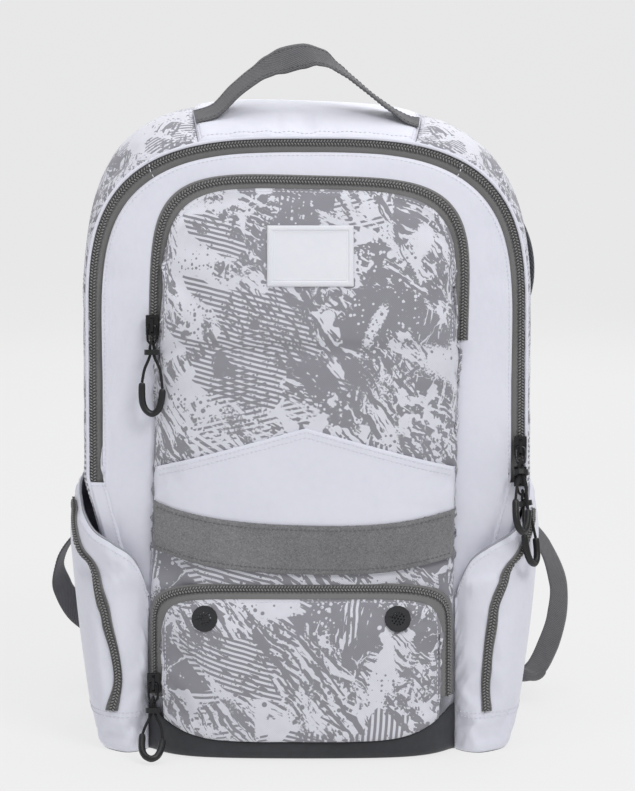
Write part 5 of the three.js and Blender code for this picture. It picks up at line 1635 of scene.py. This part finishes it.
@dataclass(frozen=True)
class Pockets:
    """Upper and lower pockets and what is sewn on them."""

    form: BagForm

    def surfaces(self) -> dict[str, Place]:
        """Each pocket's surface."""
        form, s = self.form, self.form.s
        side_half = s.upper_zip_width / 2 - s.upper_zip_band

        def upper_half(z: Array) -> Array:
            """Half width of the upper pocket."""
            return mix(s.block_half, side_half, ease((z - s.upper_zip_foot + 12) / 12))

        upper_at = arched(lambda x: s.lower_zip_top - s.lower_zip_corner + 0 * x,
                          s.upper_zip_top - s.upper_zip_corner,
                          s.upper_zip_top - s.upper_zip_band, s.upper_power, upper_half)
        lower_at = arched(lambda x: form.rim_z(s.low_middle + x) + s.seam_gap,
                          s.lower_zip_top - s.lower_zip_corner,
                          s.lower_zip_top - s.lower_zip_band, s.lower_power,
                          lambda z: s.lower_half - s.lower_zip_band + 0 * z)

        def upper(us: Array, vs: Array) -> Array:
            """Upper pocket's face."""
            off, z = upper_at(us, vs)
            x = form.middle(z) + off
            return np.stack([x, form.upper_y(x, z), z - form.upper_drop(x, z)], axis=2)

        def lower(us: Array, vs: Array) -> Array:
            """Lower pocket's face."""
            off, z = lower_at(us, vs)
            x = s.low_middle + off
            return np.stack([x, form.lower_face(x, z), z], axis=2)

        return {"upper_pocket": upper, "lower_pocket": lower}

    def press(self, press: Press) -> None:
        """Lays the pockets in the press."""
        for name, place in self.surfaces().items():
            press.lay(name, place, FORWARD, 1.6, 0.04)

    def patch(self, low: Callable[[Array], Array], high: Callable[[Array], Array], cols: int,
              rows: int) -> Array:
        """Grid across the upper pocket between two edges, given off its middle."""
        off = np.linspace(-self.form.s.block_half, self.form.s.block_half, cols)
        z = mix(low(off)[None, :], high(off)[None, :], np.linspace(0, 1, rows)[:, None])
        x = self.form.middle(z) + off
        return np.stack([x, self.form.upper_y(x, z), z], axis=2)

    def rows_of_stitches(self, shop: Workshop, grid: Array, name: str, thread: str,
                         shares: Sequence[float]) -> None:
        """Sews rows across a patch at shares of its height."""
        for share in shares:
            at = share * (grid.shape[0] - 1)
            low = min(int(at), grid.shape[0] - 2)
            line = mix(grid[low], grid[low + 1], at - low)[3:-3]
            shop.stitch(thread, shop.on(name, line, FORWARD, 0.15), FORWARD)

    def build(self, shop: Workshop) -> None:
        """Makes the pockets and their trims.

        Args:
            shop: where pieces are made.
        """
        s, form = self.form.s, self.form
        places = self.surfaces()
        shop.panel("upper_pocket", places["upper_pocket"], 124, 156, s.cloth_wall, FORWARD, "print", 2.6,
                   1.6, seed=71)
        shop.panel("lower_pocket", places["lower_pocket"], 140, 64, s.cloth_wall, FORWARD, "print", 2.4,
                   1.6, seed=73)
        chevron = self.patch(lambda off: form.loop_top(off) - 6, form.chevron_top, 180, 50)
        shop.trim("chevron_panel", chevron, "upper_pocket", s.seam_gap, 1.1, FORWARD, "white", hug=1.6)
        for inset in (3.0, 7.0):
            off = np.linspace(-s.block_half + 4, s.block_half - 4, 90)
            z = form.chevron_top(off) - inset
            x = form.middle(z) + off
            line = np.stack([x, form.upper_y(x, z) - 2, z], axis=1)
            shop.stitch("thread", shop.on("chevron_panel", line, FORWARD, 0.15), FORWARD)
        tape = self.patch(lambda off: form.loop_top(off) - s.loop_width, form.loop_top, 250, 44)
        pile = 0.3 * soft_noise(tape.shape[:2], (26, 150), 91) + 0.18 * soft_noise(tape.shape[:2],
                                                                                   (50, 290), 92)
        laid = shop.trim("loop_tape", tape, "upper_pocket", 2 * s.seam_gap + 1.1, 1.5, FORWARD, "loop",
                         pile, 1.6)
        self.rows_of_stitches(shop, laid, "loop_tape", "grey_thread", (0.1, 0.9))
        self.label(shop)
        sides = np.array([-1.0, 1.0])
        vent_x = s.low_middle + sides * s.vent_spread
        behind = np.stack([vent_x, form.lower_face(vent_x, s.vent_z + 0 * sides), s.vent_z + 0 * sides],
                          axis=1)
        middle, beside, above = (shop.on("lower_pocket", behind + np.array(step), FORWARD, -0.1)
                                 for step in ((0, 0, 0), (5.6, 0, 0), (0, 0, 5.6)))
        # A flat dark disc behind each vent: painted shade seen through its holes.
        dark = np.stack([0 * middle + FORWARD * 0.3, beside - middle, above - middle], axis=1)
        shop.scatter("vent_dark", "bed", middle, dark, "lower_pocket")
        shop.dress("vent_left", "plastic", bevel=0.5)
        shop.dress("vent_right", "plastic", bevel=0.5)

    def label(self, shop: Workshop) -> None:
        """A blank woven label with a raised satin-stitched border."""
        s, form = self.form.s, self.form
        us, vs = np.linspace(-0.5, 0.5, 170), np.linspace(-0.5, 0.5, 120)
        z = s.label_z + s.label_height * vs[:, None] + 0 * us[None, :]
        x = float(form.middle(s.label_z)) + s.label_width * us[None, :] + 0 * z
        across = s.label_width * (0.5 - np.abs(us))[None, :] + 0 * z
        up = s.label_height * (0.5 - np.abs(vs))[:, None] + 0 * z
        edge = np.minimum(across, up)
        ribs = np.where(across < up, np.sin(z * 2 * math.pi / 0.9), np.sin(x * 2 * math.pi / 0.9))
        border = ease(edge / 0.6) * ease((4.2 - edge) / 0.8)
        inner = ease((edge - 4.6) / 0.4) * ease((5.6 - edge) / 0.4)
        height = border * (0.75 + 0.1 * ribs) + 0.25 * inner
        grid = np.stack([x, form.upper_y(x, z), z], axis=2)
        shop.trim("label", grid, "upper_pocket", s.seam_gap, 0.8, FORWARD, "label", height)


def arched(foot: Callable[[Array], Array], straight: float, top: float, power: float,
           half: Callable[[Array], Array]) -> Callable[[Array, Array], tuple[Array, Array]]:
    """Fills an outline with a rounded top with a grid.

    Args:
        foot: height of the lower edge off the middle.
        straight: where the sides begin to round in.
        top: height of the top.
        power: exponent of the rounding.
        half: half width at a height.

    Returns:
        A function from shares to distances off the middle and heights.
    """
    def at(us: Array, vs: Array) -> tuple[Array, Array]:
        """Half widths and heights at shares across and up."""
        share = np.sin((us * 2 - 1) * math.pi / 2)
        wide = float(half(np.array(straight)))
        high = round_top_height(share * wide, wide, straight, top, power)
        z = mix(foot(share * wide)[None, :], high[None, :], vs[:, None])
        return share[None, :] * half(np.minimum(z, straight)), z

    return at


@dataclass(frozen=True)
class Zip:
    """A closed zip: a tape on a surface, and a coil of teeth along it."""

    name: str
    line: Callable[[Array, float], Array]
    band: tuple[float, float]
    coil: float
    away: Callable[[Array], Array]
    lift: float = 0.6

    def build(self, shop: Workshop) -> None:
        """Makes the tape, the teeth and the stitches beside them.

        Args:
            shop: where pieces are made.
        """
        rough = path_length(self.line(np.linspace(0, 1, 60), self.coil))
        along = np.linspace(0, 1, int(rough / 2.2))
        insets = np.linspace(*self.band, 11)
        grid = np.stack([self.line(along, float(inset)) for inset in insets])
        shop.piece(self.name + "_tape_cloth", shell(grid, 1.0, self.away(grid)), "tape", self.name + "_tape")
        middle = self.line(np.linspace(0, 1, len(along) * 3), self.coil)
        count = int(rough / 2.3)
        centre = spaced(middle, 2 * count)
        normal = self.normals(centre)
        tangent, across, up = frames_along(centre, normal)
        side = np.where(np.arange(2 * count) % 2 == 0, -1.0, 1.0)[:, None]
        place = centre + side * across * 1.15 + up * (self.lift + 0.6)
        axes = np.stack([across * 1.2 + tangent * side * 0.55, tangent * 0.72, up * 0.75], axis=1)
        shop.scatter(self.name + "_teeth", "coil", place, axes, self.name + "_coil")
        # A dark strip under the teeth: painted shade in the gaps between them.
        turns = np.linspace(0, 2 * math.pi, 10, endpoint=False)
        bed = np.stack([np.cos(turns) * 2.1, np.sin(turns) * 0.35], axis=1)
        shop.piece(self.name + "_bed", tube(centre + up * (self.lift - 0.1), across, up, bed), "bed")
        for shift in (-2.9, 2.9):
            shop.stitch("grey_thread", centre + across * shift + up * 0.25, up)

    def normals(self, path: Array) -> Array:
        """Normals of the tape along a line on it."""
        step = np.linspace(0, 1, len(path))
        tangent = np.gradient(path, axis=0)
        sideways = self.line(step, self.coil + 0.8) - self.line(step, self.coil - 0.8)
        normal = unit(np.cross(tangent, sideways))
        sign = np.sign((normal * self.away(path)).sum(axis=1, keepdims=True))
        return normal * np.where(sign == 0, 1, sign)


@dataclass(frozen=True)
class Zips:
    """The three front zips."""

    form: BagForm
    hidden_end: float = 9

    def arch(self, half: float, straight: float, top: float, power: float,
             foot: float) -> Callable[[Array, float], tuple[Array, Array]]:
        """Outline of a zip from its left foot over the top to its right foot, at an inset."""
        def at(along: Array, inset: float) -> tuple[Array, Array]:
            """Places along the zip at an inset."""
            h, t = half - inset, top - inset
            x = np.linspace(0, h * 0.5 ** (1 / power), 80)
            z = round_top_height(x, h, straight, t, power)
            low = np.linspace(z[-1], straight, 60)[1:]
            side = np.concatenate([x, round_top(low, h, straight, t, power), [h]])
            rise = np.concatenate([z, low, [foot]])
            xs, zs = np.concatenate([-side[:0:-1], side]), np.concatenate([rise[:0:-1], rise])
            run = np.concatenate([[0], np.cumsum(np.hypot(np.diff(xs), np.diff(zs)))])
            return np.interp(along * run[-1], run, xs), np.interp(along * run[-1], run, zs)

        return at

    def build(self, shop: Workshop) -> None:
        """Makes the zips.

        Args:
            shop: where pieces are made.
        """
        s, form = self.form.s, self.form
        main = self.arch(s.body_half, s.shoulder, s.front_height, s.front_power,
                         s.main_zip_foot - self.hidden_end)
        upper = self.arch(s.upper_zip_width / 2, s.upper_zip_top - s.upper_zip_corner, s.upper_zip_top,
                          s.upper_power, s.upper_zip_foot)
        lower = self.arch(s.lower_half, s.lower_zip_top - s.lower_zip_corner, s.lower_zip_top,
                          s.lower_power, s.lower_zip_foot)

        def main_line(along: Array, inset: float) -> Array:
            """Places along the main zip."""
            x, z = main(along, inset)
            return np.stack([x, form.edge_y(z) + 1.4, z], axis=-1)

        def upper_line(along: Array, inset: float) -> Array:
            """Places along the upper zip."""
            off, z = upper(along, inset)
            x = form.middle(z) + off
            return np.stack([x, form.front_y(x, z) - 1.4, z - form.upper_drop(x, z)], axis=-1)

        def lower_line(along: Array, inset: float) -> Array:
            """Places along the lower zip."""
            off, z = lower(along, inset)
            x = form.middle(z) + off
            return np.stack([x, form.lower_y(x, z), z], axis=-1)

        def forward(points: Array) -> Array:
            """The way the front zips face."""
            return np.broadcast_to(FORWARD, points.shape)

        coil = s.coil_width / 2 + 1.9
        Zip("main_zip", main_line, (1.5, s.zip_band + s.tape_tuck), 4.7,
            forward).build(shop)
        Zip("upper_zip", upper_line, (0, s.upper_zip_band + s.tape_tuck), coil, forward).build(shop)
        Zip("lower_zip", lower_line, (0, s.lower_zip_band + s.tape_tuck), coil, forward).build(shop)
        self.hems(shop, main, upper, lower)

    def hems(self, shop: Workshop, main: Callable, upper: Callable, lower: Callable) -> None:
        """Sews the rows along the edges of the cloth beside each zip."""
        s, form = self.form.s, self.form
        along = np.linspace(0, 1, 400)
        x, z = main(along, s.zip_band + 2.2)
        line = np.stack([x, form.front_y(x, z), z], axis=1)
        shop.stitch("thread", shop.on("front_panel", line, FORWARD, 0.1), FORWARD)
        off, z = upper(along, s.upper_zip_band + 2.4)
        x = form.middle(z) + off
        line = np.stack([x, form.upper_y(x, z), z - form.upper_drop(x, z)], axis=1)
        shop.stitch("thread", shop.on("upper_pocket", line, FORWARD, 0.1), FORWARD)
        off, z = lower(along, s.lower_zip_band + 2.4)
        x = form.middle(z) + off
        line = np.stack([x, form.lower_face(x, z), z], axis=1)
        shop.stitch("thread", shop.on("lower_pocket", line, FORWARD, 0.1), FORWARD)


@dataclass(frozen=True)
class Sleeve:
    """A bat sleeve on one side of the bag, with its zip."""

    form: BagForm
    side: Side
    zip_gap: float = 5.0
    round_per_mm: float = 1 / 260

    @property
    def name(self) -> str:
        """The sleeve's node."""
        return "sleeve_" + self.side.word

    def place(self, us: Array, vs: Array) -> Array:
        """The sleeve's surface over shares round and up."""
        z = mix(self.form.s.sleeve_foot, self.form.mouth_z(us)[None, :], vs[:, None])
        return self.form.sleeve(self.side, np.broadcast_to(us, z.shape), z)

    def away(self, points: Array) -> Array:
        """Vectors away from a place inside the sleeve."""
        centre = np.array([self.side.value * self.form.s.base_half, float(self.form.edge_y(0)) / 2, 0])
        return unit((points - centre) * np.array([1, 1, 0]))

    def outward(self, cols: int, rows: int) -> Array:
        """Those vectors for a grid."""
        return self.away(self.place(np.linspace(0, 1, cols), np.linspace(0, 1, rows)))

    def press(self, press: Press) -> None:
        """Lays the sleeve in the press."""
        press.lay(self.name, self.place, FORWARD * 0.7 + np.array([self.side.value, 0, 0]), 1.2, 0.06)

    def build(self, shop: Workshop) -> None:
        """Makes the sleeve, its grey hem of lining and painted shade, its folded foot and its zip.

        Args:
            shop: where pieces are made.
        """
        s, form, side = self.form.s, self.form, self.side
        grid = shop.panel(self.name, self.place, 124, 92, s.cloth_wall, self.outward(124, 92), "white", 3.2,
                          0.5,
                          0.6, seed=81 + side.value)
        top = grid[-1]
        way = self.away(top)
        # A grey tube along the mouth: lining, partly painted shade in the gap between sleeve and body.
        turns = np.linspace(0, 2 * math.pi, 10, endpoint=False)
        hem = np.stack([np.cos(turns) * 1.0, np.sin(turns) * 1.0], axis=1)
        _, across, up = frames_along(top - way * 0.8, way)
        shop.piece(self.name + "_hem", tube(top - way * 0.8, across, up, hem), "lining")
        start = float(form.mouth_z(np.array(SLEEVE_ZIP[side.word][0]))) - self.zip_gap

        def line(along: Array, shift: float) -> Array:
            """Places along the sleeve's zip, beside its middle by a shift."""
            z = mix(start, s.sleeve_zip_foot, along)
            rounds = read_table(SLEEVE_ZIP, "drop", side.word, along) + shift * self.round_per_mm
            here = form.sleeve(side, rounds, z)
            beside = form.sleeve(side, rounds + 0.002, z) - here
            above = form.sleeve(side, rounds, z + 0.5) - here
            normal = unit(np.cross(beside, above))
            sign = np.sign((normal * np.array([side.value, -1, 0])).sum(axis=1, keepdims=True))
            normal = normal * sign
            return shop.on(self.name, here, normal, 1.3)

        half = s.sleeve_zip_band / 2
        Zip("sleeve_zip_" + side.word, line, (-half, half), 0.0, self.away).build(shop)
        along = np.linspace(0, 1, 60)
        for shift in (-half + 1.2, half - 1.2):
            path = line(along, shift)
            shop.stitch("grey_thread", path + self.away(path) * 0.2, self.away(path))
        us = np.linspace(0.015, 0.97, 220)
        for height in (s.sleeve_zip_foot - 1.5, s.sleeve_zip_foot - 5.0):
            path = form.sleeve(side, us, 0 * us + height)
            way = self.away(path)
            shop.stitch("thread", shop.on(self.name, path, way, 0.15), way)
        path = form.sleeve(side, us, form.mouth_z(us) - 5)
        way = self.away(path)
        shop.stitch("thread", shop.on(self.name, path, way, 0.15), way)


@dataclass(frozen=True)
class Base:
    """Coated pan under the bag, its front following the lower pocket."""

    form: BagForm

    def plan(self) -> Array:
        """Outer plan of the pan's wall, turning to the left as seen from above."""
        s, form = self.form.s, self.form
        back = s.back_y + 0.6 * s.back_crown + s.base_stand
        off = np.linspace(-s.lower_half, s.lower_half, 120)
        x = s.low_middle + off
        pocket = np.stack([x, form.lower_y(x, s.base_rim + 0 * x) + s.seam_gap], axis=1)
        inner = s.base_half - s.base_stand
        left = np.linspace(-inner, -(s.lower_half + 1 - s.low_middle), 12)
        right = np.linspace(s.lower_half + 1 + s.low_middle, inner, 12)
        wings = [np.stack([w, form.front_y(w, 0 * w) - s.base_stand], axis=1) for w in (left, right)]
        turn = np.array([(s.base_half, float(form.edge_y(0)) + 2), (s.base_half, back - 8),
                         (s.base_half - 3, back - 2), (s.base_half - 10, back)])
        mirrored = (turn * [-1, 1])[::-1]
        ring = np.vstack([mirrored, wings[0], pocket, wings[1], turn, mirrored[:1]])
        flat = spaced(np.column_stack([ring, np.zeros(len(ring))]), 421)[:-1, :2]
        for _ in range(3):
            flat = (np.roll(flat, 1, axis=0) + 2 * flat + np.roll(flat, -1, axis=0)) / 4
        return flat

    def build(self, shop: Workshop) -> None:
        """Makes the pan and the floors of the sleeves.

        Args:
            shop: where pieces are made.
        """
        s, form = self.form.s, self.form
        plan = self.plan()
        edge = unit(np.roll(plan, -1, axis=0) - np.roll(plan, 1, axis=0))
        inward = np.stack([-edge[:, 1], edge[:, 0]], axis=1)
        rim = form.rim_z(plan[:, 0])
        dents = 0.5 * soft_noise((12, len(plan)), (3, 24), 55)
        rows = [(4.0, 0 * rim), (1.8, 0 * rim + 0.45), (0.7, 0 * rim + 1.5)]
        rows += [(0.0, mix(s.base_round, rim, share)) for share in np.linspace(0, 0.97, 9)]
        rows += [(0.5, rim), (s.base_wall - 0.5, rim), (s.base_wall, rim - 0.8),
                 (s.base_wall, 0 * rim + s.base_round),
                 (s.base_wall + 1, 0 * rim + s.base_wall)]
        rings = []
        for k, (shrink, z) in enumerate(rows):
            dent = dents[k][:, None] if 3 < k < 12 else 0.0
            rings.append(np.column_stack([plan + inward * (shrink + dent), z]))
        rings = np.array(rings)
        count = len(plan)
        index = np.arange(len(rows) * count).reshape(len(rows), count)
        after = np.roll(index, -1, axis=1)
        faces = np.stack([index[:-1], after[:-1], after[1:], index[1:]], axis=2).reshape(-1, 4).tolist()
        faces += [index[0][::-1].tolist(), index[-1].tolist()]
        run = np.concatenate([[0], np.cumsum(np.linalg.norm(np.diff(plan, axis=0), axis=1))])
        uv = np.stack([np.broadcast_to(run, rings.shape[:2]), rings[..., 2]], axis=2).reshape(-1, 2) * MM
        points = rings.reshape(-1, 3)
        for side in Side:
            points, faces, uv = self.sleeve_floor(side, points, faces, uv)
        shop.piece("base_cloth", (points, faces, uv), "charcoal", "base")

    def sleeve_floor(self, side: Side, points: Array, faces: list, uv: Array) -> tuple[Array, list, Array]:
        """Adds the flat floor of a sleeve to the base's mesh."""
        s = self.form.s
        turns = np.linspace(0.01, 0.985, 60)
        line = self.form.sleeve(side, turns, 0 * turns + s.sleeve_foot)[:, :2]
        centre = np.array([side.value * s.base_half, 0.0])
        line = line + unit(centre - line) * (s.cloth_wall + 2 * s.seam_gap)
        outline = np.vstack([line, [side.value * (s.base_half - 3), s.back_y - 6],
                             [side.value * (s.base_half - 3), line[0, 1] + 8]])
        if side is Side.LEFT:
            outline = outline[::-1]
        start, count = len(points), len(outline)
        low = np.column_stack([outline, np.zeros(count)])
        both = np.vstack([low, low + np.array([0, 0, s.base_wall])])
        ring = start + np.arange(count)
        after = np.roll(ring, -1)
        new = np.stack([ring, after, after + count, ring + count], axis=1).tolist()
        new += [ring[::-1].tolist(), (ring + count).tolist()]
        return np.vstack([points, both]), faces + new, np.vstack([uv, both[:, :2] * MM])


@dataclass(frozen=True)
class Web:
    """A length of ribbed webbing that follows a line and twists about it."""

    name: str
    places: Array
    twists: Sequence[float]
    width: float
    wall: float
    rib: float = 2.4

    def frames(self) -> tuple[Array, Array, Array]:
        """Places along the web, and its unit vectors across and out."""
        length = path_length(catmull(self.places, 60))
        steps = max(60, int(length / 0.6))
        centres = catmull(self.places, steps)
        tangent = unit(np.gradient(centres, axis=0))
        at = np.linspace(0, len(self.twists) - 1, steps + 1)
        low = np.minimum(at.astype(int), len(self.twists) - 2)
        table = np.array(self.twists, float)
        twist = np.radians(mix(table[low], table[low + 1], ease(at - low)))[:, None]
        flat = unit(BACKWARD - tangent * tangent[:, 1:2])
        rise = unit(np.cross(tangent, flat))
        across = unit(flat * np.cos(twist) + rise * np.sin(twist))
        return centres, across, unit(np.cross(tangent, across))

    def build(self, shop: Workshop) -> None:
        """Makes the web with its diagonal ribs.

        Args:
            shop: where pieces are made.
        """
        centres, across, out = self.frames()
        wide = np.linspace(-1, 1, 15)
        edge = (1 - np.abs(wide) ** 8) ** 0.5
        upper = np.stack([wide * self.width / 2, edge * self.wall / 2], axis=1)
        outline = np.vstack([upper, (upper * [1, -1])[-2:0:-1]])
        run = np.concatenate([[0], np.cumsum(np.linalg.norm(np.diff(centres, axis=0), axis=1))])
        phase = run[:, None] / self.rib + np.abs(outline[None, :, 0]) / (2.2 * self.rib)
        rib = 1 + 0.2 * np.sin(2 * math.pi * phase) * (np.abs(outline[None, :, 0]) < self.width * 0.45)
        section = np.stack([np.broadcast_to(outline[:, 0], rib.shape), outline[:, 1] * rib], axis=2)
        shop.piece(self.name + "_ribbed", tube(centres, across, out, section), "web", self.name)
        for side in (-0.36, 0.36):
            for face in (-1, 1):
                line = centres + across * self.width * side + out * face * (self.wall / 2 + 0.1)
                if self.name == "handle":
                    shop.stitch("grey_thread", line, out * face)


@dataclass(frozen=True)
class Carry:
    """Handle, shoulder pads and their webs."""

    form: BagForm
    handle_width: float = 25
    handle_wall: float = 1.8
    handle_rise: float = 48
    handle_seat: float = 10
    handle_depth: float = 0.2
    strap_width: float = 64
    strap_pad: float = 12
    strap_reach: float = 40
    strap_foot: float = 214
    web_wall: float = 1.6
    lock_wall: float = 4
    top_seam: float = 0.312

    HANDLE = {
        "along": [0, 0.09, 0.18, 0.27, 0.335, 0.4, 0.48, 0.56, 0.63, 0.7, 0.785, 0.87, 0.95, 1],
        "rise": [0, 0.11, 0.43, 0.69, 0.84, 0.93, 1, 0.99, 0.85, 0.67, 0.43, 0.21, 0.03, 0],
        "twist": [22, 25, 27, 30, 40, 53, 50, 31, 13, 5, 2, 5, 12, 15],
    }
    PAD = {
        "out": [0.3, 0.42, 0.6, 0.8, 0.95, 0.99, 0.93, 0.8, 0.78],
        "back": [-0.165, 0.16, 0.48, 0.76, 0.92, 1, 0.99, 0.9, 0.8],
        "drop": [0, 0.08, 0.18, 0.275, 0.37, 0.48, 0.62, 0.82, 1],
        "wide": [0.84, 0.92, 1, 1, 1, 0.98, 0.95, 0.86, 0.56],
        "thick": [0.5, 0.9, 1, 1, 1, 1, 1, 0.95, 0.5],
    }
    WEBS = {
        "left": {
            "out": [0.69, 0.76, 0.9, 1.05, 1.12, 1.11, 1.03, 0.91, 0.82, 0.74],
            "back": [0.84, 0.7, 0.48, 0.3, 0.2, 0.2, 0.26, 0.26, 0.1, 0.03],
            "height": [0.83, 0.76, 0.69, 0.61, 0.51, 0.41, 0.31, 0.25, 0.22, 0.2],
            "twist": [88, 60, 26, 8, 12, 34, 50, 60, 78, 90],
        },
        "right": {
            "out": [0.73, 0.8, 0.94, 1.07, 1.13, 1.12, 1.075, 1.02, 0.97, 0.88, 0.78],
            "back": [0.84, 0.66, 0.38, 0.16, -0.05, -0.3, -0.5, -0.6, -0.2, 0.12, 0.03],
            "height": [0.83, 0.77, 0.69, 0.57, 0.43, 0.31, 0.2, 0.12, 0.1, 0.1, 0.1],
            "twist": [88, 60, 20, 26, 38, 46, 52, 52, 60, 76, 90],
        },
    }
    SPREAD = {"left": 151, "right": 156}
    TOP = {"left": 470, "right": 460}

    def top_z(self, x: Array, y: Array) -> Array:
        """Height of the gusset over a place in plan."""
        s, form = self.form.s, self.form
        front = float(form.edge_y(s.front_height))
        depth = clamp((y - front) / (s.back_y - front))
        top = s.front_height + s.crown_rise * read_table(GUSSET, "depth", "rise", depth)
        power = mix(s.front_power, s.crown_power, read_table(GUSSET, "depth", "square", depth))
        half = form.side_half(s.shoulder, depth)
        z = round_top_height(x, half, s.shoulder, top, power)
        return z - form.lean_drop(x, z, depth)

    def seat(self, x: float, y: float, twist: float) -> float:
        """Height at which the handle's web just clears the gusset under it."""
        turn = math.radians(twist)
        across = np.linspace(-0.5, 0.5, 7) * self.handle_width
        clear = self.top_z(np.array(x), y + across * math.cos(turn)) - across * math.sin(turn)
        return float(clear.max()) + self.handle_wall / 2 / math.cos(turn) + self.form.s.seam_gap + 0.4

    def handle(self, shop: Workshop) -> None:
        """Makes the carry handle."""
        s, form = self.form.s, self.form
        end = float(form.gusset(np.array([self.top_seam]), np.array([self.handle_depth]))[0, 0, 0]) - 1
        y = float(mix(form.edge_y(s.front_height), s.back_y, self.handle_depth))
        rows = list(zip(self.HANDLE["along"], self.HANDLE["rise"], self.HANDLE["twist"]))
        feet = [self.seat(mix(-end, end, along), y, twist) for along, _, twist in (rows[0], rows[-1])]
        places = []
        for along, rise, twist in rows:
            x = mix(-end, end, along)
            z = mix(*feet, along) + self.handle_rise * rise
            low = self.seat(x, y, twist) if abs(x) > end - self.handle_seat else z
            places.append((x, y, max(z, low)))
        Web("handle", np.array(places), self.HANDLE["twist"], self.handle_width, self.handle_wall).build(shop)

    def strap(self, shop: Workshop, side: Side) -> None:
        """Makes a shoulder pad, its binding and its web."""
        word, face = side.word, self.form.s.back_y + self.form.s.back_crown
        out, back, drop = (np.array(self.PAD[key]) for key in ("out", "back", "drop"))
        places = np.stack([side.value * self.SPREAD[word] * out,
                           face + self.strap_pad / 2 + self.strap_reach * back,
                           mix(self.TOP[word], self.strap_foot, drop)], axis=1)
        count = 30 * (len(places) - 1)
        centres = catmull(places, count)
        tangent = unit(np.gradient(centres, axis=0))
        outward = unit(BACKWARD - tangent * tangent[:, 1:2])
        across = unit(np.cross(tangent, outward))
        at = np.linspace(0, len(out) - 1, count + 1)
        wide = np.interp(at, np.arange(len(out)), self.PAD["wide"]) * self.strap_width
        thick = np.interp(at, np.arange(len(out)), self.PAD["thick"]) * self.strap_pad
        turns = np.linspace(0, 2 * math.pi, 44, endpoint=False)
        cos, sin = np.cos(turns), np.sin(turns)
        ring = np.stack([np.sign(cos) * np.abs(cos) ** 0.5, np.sign(sin) * np.abs(sin) ** 0.75], axis=1) / 2
        section = ring[None] * np.stack([wide, thick], axis=1)[:, None]
        quilt = 1 - 0.16 * np.exp(-(((np.abs(section[..., 0]) - wide[:, None] / 2 + 7) / 1.6) ** 2))
        section = section * np.stack([np.ones_like(quilt), quilt], axis=2)
        pad = shop.piece("shoulder_pad_" + word + "_cloth", tube(centres, across, outward, section), "mesh",
                         "shoulder_pad_" + word)
        circle = np.stack([cos[::4], sin[::4]], axis=1) * 1.7
        for edge in (-0.5, 0.5):
            line = centres + across * (edge * (wide - 2.6))[:, None]
            name = "pad_binding_" + word + ("_in" if edge * side.value < 0 else "_out")
            shop.piece(name, tube(line, across, outward, circle), "web")
        foot = places[-1]
        lock_top = foot[2] - 1.4
        rows = self.WEBS[word]
        start = (foot[0], foot[1] - self.lock_wall / 2 - 0.4 - self.web_wall / 2, lock_top - 9)
        free = [(side.value * self.form.s.sleeve_left * o, face + self.strap_reach * b, self.strap_foot * h)
                for o, b, h in zip(rows["out"], rows["back"], rows["height"])]
        Web("web_" + word, np.array([start, *free]), [90, *rows["twist"]], 25, self.web_wall).build(shop)
        shop.dress("ladder_lock_" + word, "plastic", bevel=0.9)

    def build(self, shop: Workshop) -> None:
        """Makes the handle and both straps.

        Args:
            shop: where pieces are made.
        """
        self.handle(shop)
        for side in Side:
            self.strap(shop, side)


def main() -> None:
    """Builds the looks in order: camera, pulls, pressed cloth, trims, carry parts and studio."""
    logging.basicConfig(level=logging.INFO, format="%(name)s: %(message)s")
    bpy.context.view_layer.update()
    form = BagForm()
    groups = {"weave": weave_group(), "cloth_wear": wear_group(), "splatter_print": splatter_group()}
    materials = {name: finish.build(groups) for name, finish in FINISHES.items()}
    shop = Workshop(form, materials, Press())
    studio = Studio()
    studio.camera()
    Pulls(form).build(shop)
    body, pockets = Body(form), Pockets(form)
    sleeves = [Sleeve(form, side) for side in Side]
    for soft in (body, pockets, *sleeves):
        soft.press(shop.press)
    shop.press.run()
    for assembly in (body, pockets, Zips(form), *sleeves, Base(form), Carry(form)):
        before = shop.made
        assembly.build(shop)
        LOG.info("%s: %d pieces", type(assembly).__name__, shop.made - before)
    shop.sew()
    studio.build()
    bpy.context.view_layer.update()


if __name__ == "__main__":
    main()
